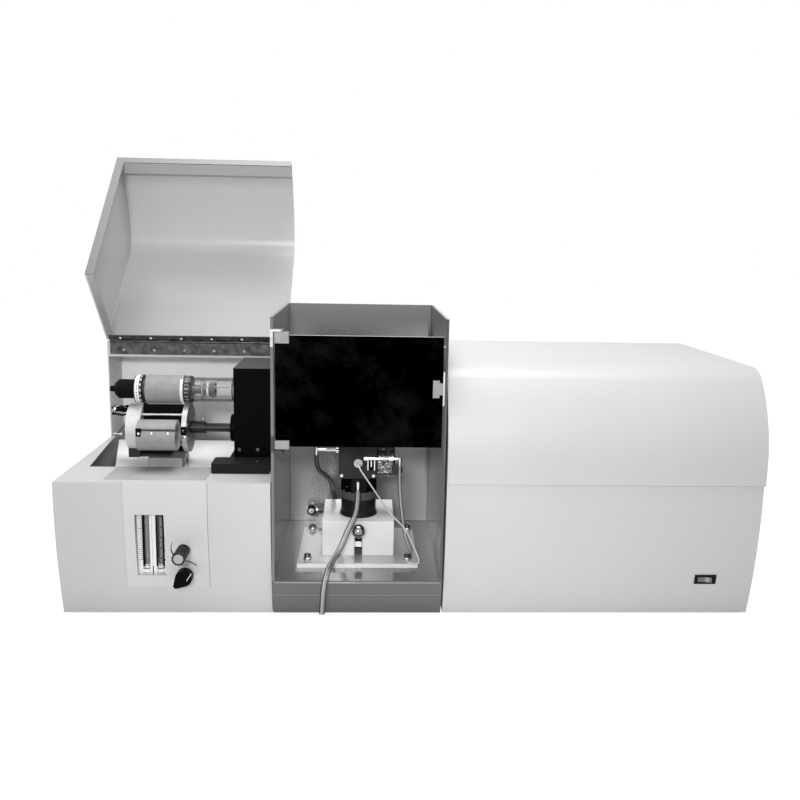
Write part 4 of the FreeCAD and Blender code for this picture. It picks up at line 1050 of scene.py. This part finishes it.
# Painted shade: grey strips on the channel floors behind the tubes.
bm = slab(bmesh.new(), (AIR_X - 4.75, AIR_X + 6.05), LINING, (foot, head), FINE)
slab(bm, (FUEL_X - 4.45, FUEL_X - 0.5), LINING, (foot, head), FINE)
piece("flowmeter_back_strips", bm, shade_grey, "housing")

# %% [markdown]
# ## Sight tubes and fittings
# Everything round in the channels comes off the lathe: the tube as a profile with an inner and an outer
# wall, so that both catch the light, and the fitting as one profile with its steps. The dark lines round
# the fitting are rings that stand a little proud of it, as the seals and joints of the real one do.

# %% Sight tubes, fittings and rings
bm = bmesh.new()
for cx in tubes:
    turned(bm, [(80, 3.5), (80, 4.3), (165, 4.3), (165, 3.5), (80, 3.5)], (cx, TUBE_Y, 0))
piece("flowmeter_tubes", bm, sight_glass, "housing")
fitting = [(66, 0), (66, 8.6), (75, 8.6), (76.4, 7.6), (78, 5.0), (79.4, 4.6), (83, 4.6), (83, 0)]
bm = bmesh.new()
for cx in tubes:
    turned(bm, fitting, (cx, FITTING_Y, 0), steps=28)
piece("flowmeter_fittings", bm, white_plastic, "housing")
bm = bmesh.new()
for cx in tubes:
    for z, radius in ((67.5, 8.75), (71.2, 8.75), (77.2, 6.4), (80.8, 4.75)):
        washer(bm, radius - 1, radius, 0.8, (cx, FITTING_Y, z), steps=28)
    washer(bm, 1.2, 3.2, 2.6, (cx, TUBE_Y, 84), steps=20)
piece("flowmeter_rings", bm, dull_black, "housing")

# %% [markdown]
# ## Marks and arcs
# The flowmeters are read against ladders of short marks, with a longer one at every fifth. Round the two
# knobs the panel has arcs, one that widens and one that doesn't, to show which way to turn. The panel is
# bowed, so the arcs are films whose every point is placed on the bow's circle.

# %% Reading marks
MARKS, MARK_PITCH = 23, 3.2
bm = bmesh.new()
for k in range(MARKS):
    z = SCALE_FOOT + MARK_PITCH * k
    wide = 4.6 if k % 5 == 0 else 2.6
    slab(bm, (AIR_X - 5.0 - wide * 0.8, AIR_X - 5.0 + wide), (11.2, 11.4), (z, z + 0.7), SHARP)
    slab(bm, (FUEL_X - 4.4, FUEL_X - 4.4 + wide * 1.6), (17.2, 17.6), (z, z + 0.8), SHARP)
piece("flowmeter_marks", bm, dull_black, "housing")

# %% Arcs and pointer line
BOW_RADIUS, BOW_BACK, BOW_UP = 800.8, 797.0, 196.0
LIFT, FILM = 0.02, 0.12


def on_panel(x, z):
    """A place on the panel's bowed face, just clear of it."""
    return spot(x, BOW_BACK - math.sqrt((BOW_RADIUS + LIFT) ** 2 - (z - BOW_UP) ** 2), z)


def film(bm, points, widths):
    """A printed line on the panel, as a band of changing width that follows the bowed face."""
    left, right = [], []
    ends = [points[0], *points, points[-1]]
    for (x, z), before, after, width in zip(points, ends, ends[2:], widths):
        run = Vector((after[0] - before[0], after[1] - before[1])).normalized() * (width / 2)
        left.append(bm.verts.new(on_panel(x - run.y, z + run.x)))
        right.append(bm.verts.new(on_panel(x + run.y, z - run.x)))
    faces = [bm.faces.new((a, b, d, c)) for a, b, c, d in zip(left, left[1:], right, right[1:])]
    top = grown_vertices(bmesh.ops.extrude_face_region(bm, geom=faces))
    bmesh.ops.translate(bm, vec=(0, -FILM * MM, 0), verts=top)


def arc(cx, cz, radius, start, end, steps=14):
    """Points along an arc on the panel, with its angles in degrees."""
    angles = [math.radians(start + (end - start) * i / steps) for i in range(steps + 1)]
    return [(cx + radius * math.cos(a), cz + radius * math.sin(a)) for a in angles]


bm = bmesh.new()
rise = arc(-334.2, 114.2, 20.0, 150, 218)
film(bm, rise, [0.6 + 1.7 * i / (len(rise) - 1) for i in range(len(rise))])
low = arc(-336.5, 69.6, 24.5, 84, 42)
film(bm, low, [1.5] * len(low))
piece("panel_arcs", bm, dull_black, "housing")
line_y = reach("selector_knob")[BACK][0] - 0.3
bm = wire(bmesh.new(), [(-322.4, line_y, 81.8), (-329.2, line_y, 70.9)], 0.55, smooth=False)
piece("selector_line", bm, white_plastic, "selector")

# %% [markdown]
# ## The burner's plate
# The white plate under the burner is held by four thumbscrews with crossed slots, each on a washer. The
# fuel hose leaves through the back wall, where a dark rim is turned round its inlet.

# %% Thumbscrews and fuel inlet
WASHER_FOOT = 75.4
SCREW_FOOT = 77.2
bm = bmesh.new()
for i, (x, y) in enumerate(((-160.6, 213), (2.8, 213), (-160, 72), (-4, 71.5))):
    turned(bm, [(0, 0), (0, 3.0), (2, 3.0), (2, 0)], (x, y, WASHER_FOOT), steps=16)
    screw(bm, (x, y, SCREW_FOOT), UPWARD, 5.6, 2.2, turn=0.5 + 0.3 * i, parts=4)
piece("plate_thumbscrews", bm, dark_screw, "housing")
rim = [(0, 5.35), (0, 6.6), (1.2, 7.9), (8.5, 7.9), (8.5, 5.35), (0, 5.35)]
bm = turned(bmesh.new(), rim, (-165, 255.4, 89), way=(0, 1, 0), steps=28)
piece("fuel_inlet_rim", bm, dull_black, "housing")

# %% [markdown]
# ## The burner's screws, port and cap
# Two slotted screws hold the burner block, and small studs stand round the neck of the mixing chamber.
# Beside the block a relief port is closed with a crumpled gauze: a fine grid whose points stray up and
# down at random. A rubber cap sits below it. All of this rides on the burner's carriage.

# %% Burner screws, port and cap
GAUZE_SIZE = (26.8 * MM, 41 * MM, MM, 1.0)
GAUZE_RIM = 0.49
bm = bmesh.new()
for x in (-108.6, -58.2):
    screw(bm, (x, 104.1, 196.8), FORWARD, 2.7, 1.2, turn=0.9)
stud = [(-1, 0), (-1, 0.9), (0.4, 0.9), (0.9, 0.5), (0.9, 0)]
for x, y, z in (
    (-100.2, 111.3, 176.7), (-104.7, 116.6, 169.6), (-95.8, 108.6, 168.2), (-68.4, 108.3, 178.7),
    (-63.6, 111.5, 168.2),
):
    turned(bm, stud, (x, y, z), way=(x - BURNER[RIGHT], y - BURNER[BACK], 0), steps=10)
piece("burner_screws", bm, bright, "burner_carriage")
bm = bmesh.new()
grid = bmesh.ops.create_grid(bm, x_segments=22, y_segments=32, size=0.5)["verts"]
for v in grid:
    v.co.z = rng.uniform(-0.5, 0.9) if max(abs(v.co.x), abs(v.co.y)) < GAUZE_RIM else -0.9
stand = aimed((-39.4, 117.4, 217), FORWARD) @ Matrix.Diagonal(GAUZE_SIZE)
bmesh.ops.transform(bm, matrix=stand, verts=grid)
piece("port_gauze", bm, gauze_steel, "burner_carriage", smooth=10)
cap = [(0, 0), (0, 7.6), (1.4, 8.8), (6.2, 8.8), (7.4, 7.4), (7.4, 3), (6.4, 2.4), (6.4, 0)]
bm = turned(bmesh.new(), cap, (-20.4, 118.6, 204.6), FORWARD)
piece("port_cap", bm, rubber, "burner_carriage")

# %% [markdown]
# ## The chamber's front edge
# Where the floor of the chamber is folded down in front, its edge catches the flash as one bright line.
# That highlight is painted with a piece: a patch in the paint could draw it too, but here it is a strip of
# bright steel less than a millimetre high, with the steel's own finish.

# %% Highlight strip on the edge of the chamber's floor
# Painted highlight: a bright steel strip along the floor's folded front edge.
bm = slab(bmesh.new(), (-204.5, 41.5), (2.2, 3.6), (60.0, 60.9), 0.2)
piece("chamber_edge_highlight_strip", bm, steel, "housing")

# %% [markdown]
# ## Studio
# The object stands on a pale floor that runs into a white world. Rays from the camera see that white,
# while the light that reaches the object is softer, so that pale paint keeps its shading.


# %% Floor
def stage_floor(size=6.0, glow=1.72, glow_share=0.5):
    """A pale floor that the camera sees partly as light, so that it melts into the world."""
    bm = bmesh.new()
    bmesh.ops.create_grid(bm, x_segments=1, y_segments=1, size=size)
    mesh = bpy.data.meshes.new("floor")
    bm.to_mesh(mesh)
    bm.free()
    floor = bpy.data.objects.new("floor", mesh)
    bpy.context.scene.collection.objects.link(floor)
    f = Finish("floor_white", 0.8, Roughness=0.9)
    ray = f.node("ShaderNodeLightPath", {}, {}, "Is Camera Ray")
    light = f.node("ShaderNodeEmission", {}, {"Color": (1, 1, 1, 1), "Strength": glow})
    surface = Value(f, f.shader.outputs[0])
    blend = f.node("ShaderNodeMixShader", {}, {0: ray * glow_share, 1: surface, 2: light})
    f.tree.links.new(blend.socket, f.tree.nodes["Material Output"].inputs["Surface"])
    mesh.materials.append(f.material)


stage_floor()
print("floor laid")


# %% World
def white_world(lighting=0.30, seen=1.0):
    """White for what the eye sees, also through glass and in gloss, and dimmer as light on the object."""
    world = bpy.data.worlds.new("world")
    bpy.context.scene.world = world
    world.use_nodes = True
    tree = world.node_tree
    background = tree.nodes["Background"]
    background.inputs["Color"].default_value = (1, 1, 1, 1)
    path = tree.nodes.new("ShaderNodeLightPath")
    eye, *others = [path.outputs["Is " + kind + " Ray"] for kind in ("Camera", "Transmission", "Glossy")]
    for other in others:
        pick = tree.nodes.new("ShaderNodeMath")
        pick.operation = "MAXIMUM"
        tree.links.new(eye, pick.inputs[0])
        tree.links.new(other, pick.inputs[1])
        eye = pick.outputs[0]
    level = tree.nodes.new("ShaderNodeMapRange")
    level.inputs["To Min"].default_value = lighting
    level.inputs["To Max"].default_value = seen
    tree.links.new(eye, level.inputs["Value"])
    tree.links.new(level.outputs[0], background.inputs["Strength"])


white_world()
print("world", bpy.context.scene.world.name)

# %% [markdown]
# ## Two lamps
# A broad lamp overhead gives the soft shading from top to foot. A small one near the camera stands for
# the flash: it lights the fronts and leaves bright points on screws and glass.


# %% Lamps
def lamp(name, place, target, size, watts):
    """A rectangular area light that looks at a target."""
    light = bpy.data.lights.new(name, "AREA")
    light.shape = "RECTANGLE"
    light.size, light.size_y = size
    light.energy = watts
    obj = bpy.data.objects.new(name, light)
    bpy.context.scene.collection.objects.link(obj)
    obj.location = place
    obj.rotation_euler = (Vector(target) - Vector(place)).to_track_quat("-Z", "Y").to_euler()


lamp("overhead", (-0.1, -0.1, 2.2), (0, 0, 0.3), (1.6, 1.0), 38)
lamp("front", (-0.25, -2.3, 1.0), (0, 0, 0.25), (0.35, 0.22), 25)
bpy.context.scene.view_settings.view_transform = "Standard"
print("lamps", len(bpy.data.lights))
